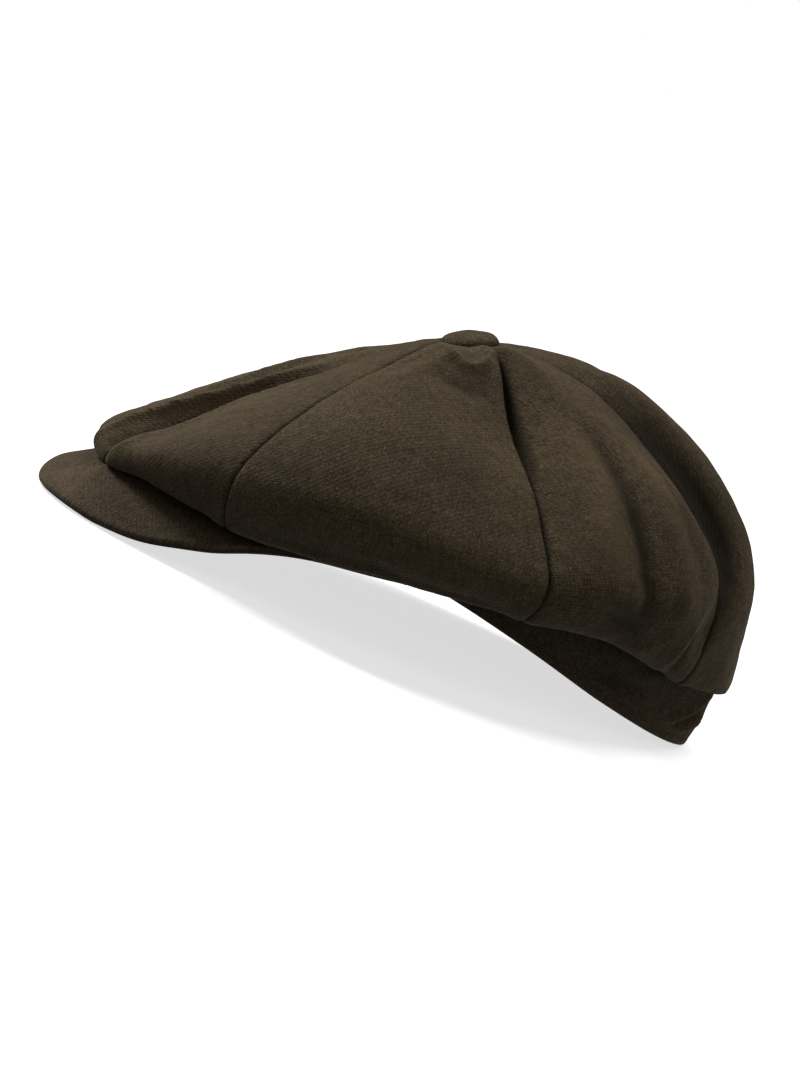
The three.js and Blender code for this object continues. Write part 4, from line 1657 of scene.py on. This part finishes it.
@dataclass
class Studio:
    """Pale floor, soft light and the camera at the photograph's angle.

    Attributes:
        azimuth: degrees round from the front at which the camera stands.
        elevation: degrees above the cap's level.
        roll: degrees that the picture is rolled by.
        distance: metres from the camera to the button.
        per_pixel: metres that one pixel is at the button.
        picture: width and height of the picture in pixels.
        button_pixel: where the button shows in it.
        button_point: the button's place in metres.
        sensor: the longer side of the camera's sensor in millimetres.
        floor_size: side of the floor in metres.
        floor_gap: how far the floor lies under the cap, in metres.
        floor_shade: grey of the floor, and how strongly it glows.
        sky: strength of the even light from all round.
        sky_tint: colour of that light.
        overhead: azimuth, elevation, strength and width in degrees of the broad light above.
        softboxes: the lights round the cap.
        softbox_distance: metres from the cap's middle to each.
        aim: what the softboxes point at.
    """

    azimuth: float = 69.0
    elevation: float = 4.0
    roll: float = 23.8
    distance: float = 1.7
    per_pixel: float = 0.00037
    picture: tuple[int, int] = (800, 1077)
    button_pixel: tuple[float, float] = (471.0, 331.0)
    button_point: tuple[float, float, float] = (-0.002220, -0.009510, 0.1118)
    sensor: float = 36.0
    floor_size: float = 60.0
    floor_gap: float = 0.0004
    floor_shade: tuple[float, float] = (0.50, 0.68)
    sky: float = 0.08
    sky_tint: tuple[float, float, float] = (1.0, 0.985, 0.96)
    overhead: tuple[float, float, float, float] = (215.0, 68.0, 2.2, 30.0)
    softboxes: tuple[Softbox, ...] = (
        Softbox("softbox_front", -48.0, 37.0, 38.0, 0.7),
        Softbox("softbox_side", 72.0, 30.0, 6.6, 1.2),
        Softbox("softbox_low", 112.0, 4.0, 2.6, 0.8),
    )
    softbox_distance: float = 1.9
    aim: tuple[float, float, float] = (0.0, 0.0, 0.05)

    def build(self) -> None:
        """Makes the floor, the lights and the camera."""
        self._floor()
        self._sky()
        self._lights()
        self._camera()

    def _floor(self) -> None:
        """A plain pale floor."""
        place = (0.0, 0.0, -self.floor_gap)
        floor = add("floor", bpy.ops.mesh.primitive_plane_add, size=self.floor_size, location=place)
        material = bpy.data.materials.new("pale_floor")
        material.use_nodes = True
        paint = material.node_tree.nodes["Principled BSDF"]
        grey, glow = self.floor_shade
        paint.inputs["Base Color"].default_value = (grey, grey, grey, 1.0)
        paint.inputs["Emission Color"].default_value = (1.0, 1.0, 1.0, 1.0)
        paint.inputs["Emission Strength"].default_value = glow
        paint.inputs["Roughness"].default_value = 0.9
        paint.inputs["Specular IOR Level"].default_value = 0.1
        floor.data.materials.append(material)
        floor.visible_diffuse = False

    def _sky(self) -> None:
        """White beyond the floor, and a dimmer even light on the cap."""
        world = bpy.data.worlds.new("studio")
        bpy.context.scene.world = world
        world.use_nodes = True
        tree = world.node_tree
        tree.nodes.clear()
        output = tree.nodes.new("ShaderNodeOutputWorld")
        seen = tree.nodes.new("ShaderNodeBackground")
        lit = tree.nodes.new("ShaderNodeBackground")
        seen.inputs["Color"].default_value = (1.0, 1.0, 1.0, 1.0)
        seen.inputs["Strength"].default_value = 1.0
        lit.inputs["Color"].default_value = (*self.sky_tint, 1.0)
        lit.inputs["Strength"].default_value = self.sky
        mix = tree.nodes.new("ShaderNodeMixShader")
        path = tree.nodes.new("ShaderNodeLightPath")
        tree.links.new(path.outputs["Is Camera Ray"], mix.inputs["Fac"])
        tree.links.new(lit.outputs[0], mix.inputs[1])
        tree.links.new(seen.outputs[0], mix.inputs[2])
        tree.links.new(mix.outputs[0], output.inputs["Surface"])

    def _lights(self) -> None:
        """A broad light from above and behind, and softboxes in front, at the side and low at the back."""
        azimuth, elevation, strength, width = self.overhead
        bpy.ops.object.light_add(type="SUN", location=(0.0, 0.0, 2.0))
        above = bpy.context.object
        above.name = "overhead"
        above.data.energy = strength
        above.data.angle = math.radians(width)
        above.rotation_euler = self._toward(azimuth, elevation).to_track_quat("Z", "Y").to_euler()
        for softbox in self.softboxes:
            place = self._toward(softbox.azimuth, softbox.elevation) * self.softbox_distance
            bpy.ops.object.light_add(type="AREA", location=place)
            light = bpy.context.object
            light.name = softbox.name
            light.data.energy = softbox.power
            light.data.size = softbox.size
            light.rotation_euler = (Vector(self.aim) - place).to_track_quat("-Z", "Y").to_euler()

    def _toward(self, azimuth: float, elevation: float) -> Vector:
        """Direction from the cap toward an azimuth and elevation in degrees."""
        turn, rise = math.radians(azimuth), math.radians(elevation)
        return Vector((math.sin(turn) * math.cos(rise), -math.cos(turn) * math.cos(rise), math.sin(rise)))

    def _camera(self) -> None:
        """The camera, rolled so that the picture shows the cap as the photograph does."""
        roll = math.radians(self.roll)
        back = self._toward(self.azimuth, self.elevation)
        turn = math.radians(self.azimuth)
        right = Vector((math.cos(turn), math.sin(turn), 0.0))
        up = back.cross(right)
        aside = self.picture[0] / 2.0 - self.button_pixel[0]
        above = self.button_pixel[1] - self.picture[1] / 2.0
        to_right = (math.cos(roll) * aside - math.sin(roll) * above) * self.per_pixel
        upward = (math.sin(roll) * aside + math.cos(roll) * above) * self.per_pixel
        place = Vector(self.button_point) + back * self.distance
        forward = (right * to_right + up * upward - back * self.distance).normalized()
        top = (up * math.cos(roll) - right * math.sin(roll)).normalized()
        side = forward.cross(top).normalized()
        top = side.cross(forward).normalized()
        bpy.ops.object.camera_add(location=place)
        camera = bpy.context.object
        camera.name = "photo_camera"
        camera.rotation_mode = "QUATERNION"
        camera.rotation_quaternion = Matrix((side, top, -forward)).transposed().to_quaternion()
        camera.data.sensor_width = self.sensor
        camera.data.lens = self.sensor * self.distance / (self.per_pixel * self.picture[1])
        camera.data.clip_start = 0.05
        camera.data.clip_end = 200.0
        bpy.context.scene.camera = camera


def main() -> None:
    """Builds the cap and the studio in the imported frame."""
    logging.basicConfig(level=logging.INFO, format="%(name)s %(message)s")
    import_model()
    crown_cloth = ClothFinish("crown_cloth", turn=0.0).make()
    band_cloth = ClothFinish("band_cloth", color=(0.038, 0.026, 0.0142), turn=4.0).make()
    peak_cloth = ClothFinish("peak_cloth", color=(0.037, 0.026, 0.0148), turn=8.0).make()
    button_cloth = ClothFinish("button_cloth", turn=20.0).make()
    thread = ClothFinish("stitch_thread", color=(0.024, 0.017, 0.010), pitch=0.3).make()
    band_form = BandForm()
    crown_form = CrownForm(band_form)
    pieces = [
        *Crown(crown_form, crown_cloth).build(),
        *Band(band_form, band_cloth, thread).build(),
        *Peak(band_form, peak_cloth).build(),
        Button(crown_form, button_cloth).build(),
    ]
    for piece in pieces:
        LOG.info("%s: %d faces", piece.name, len(piece.data.polygons))
    bpy.context.scene.view_settings.view_transform = "Standard"
    Studio().build()


if __name__ == "__main__":
    main()
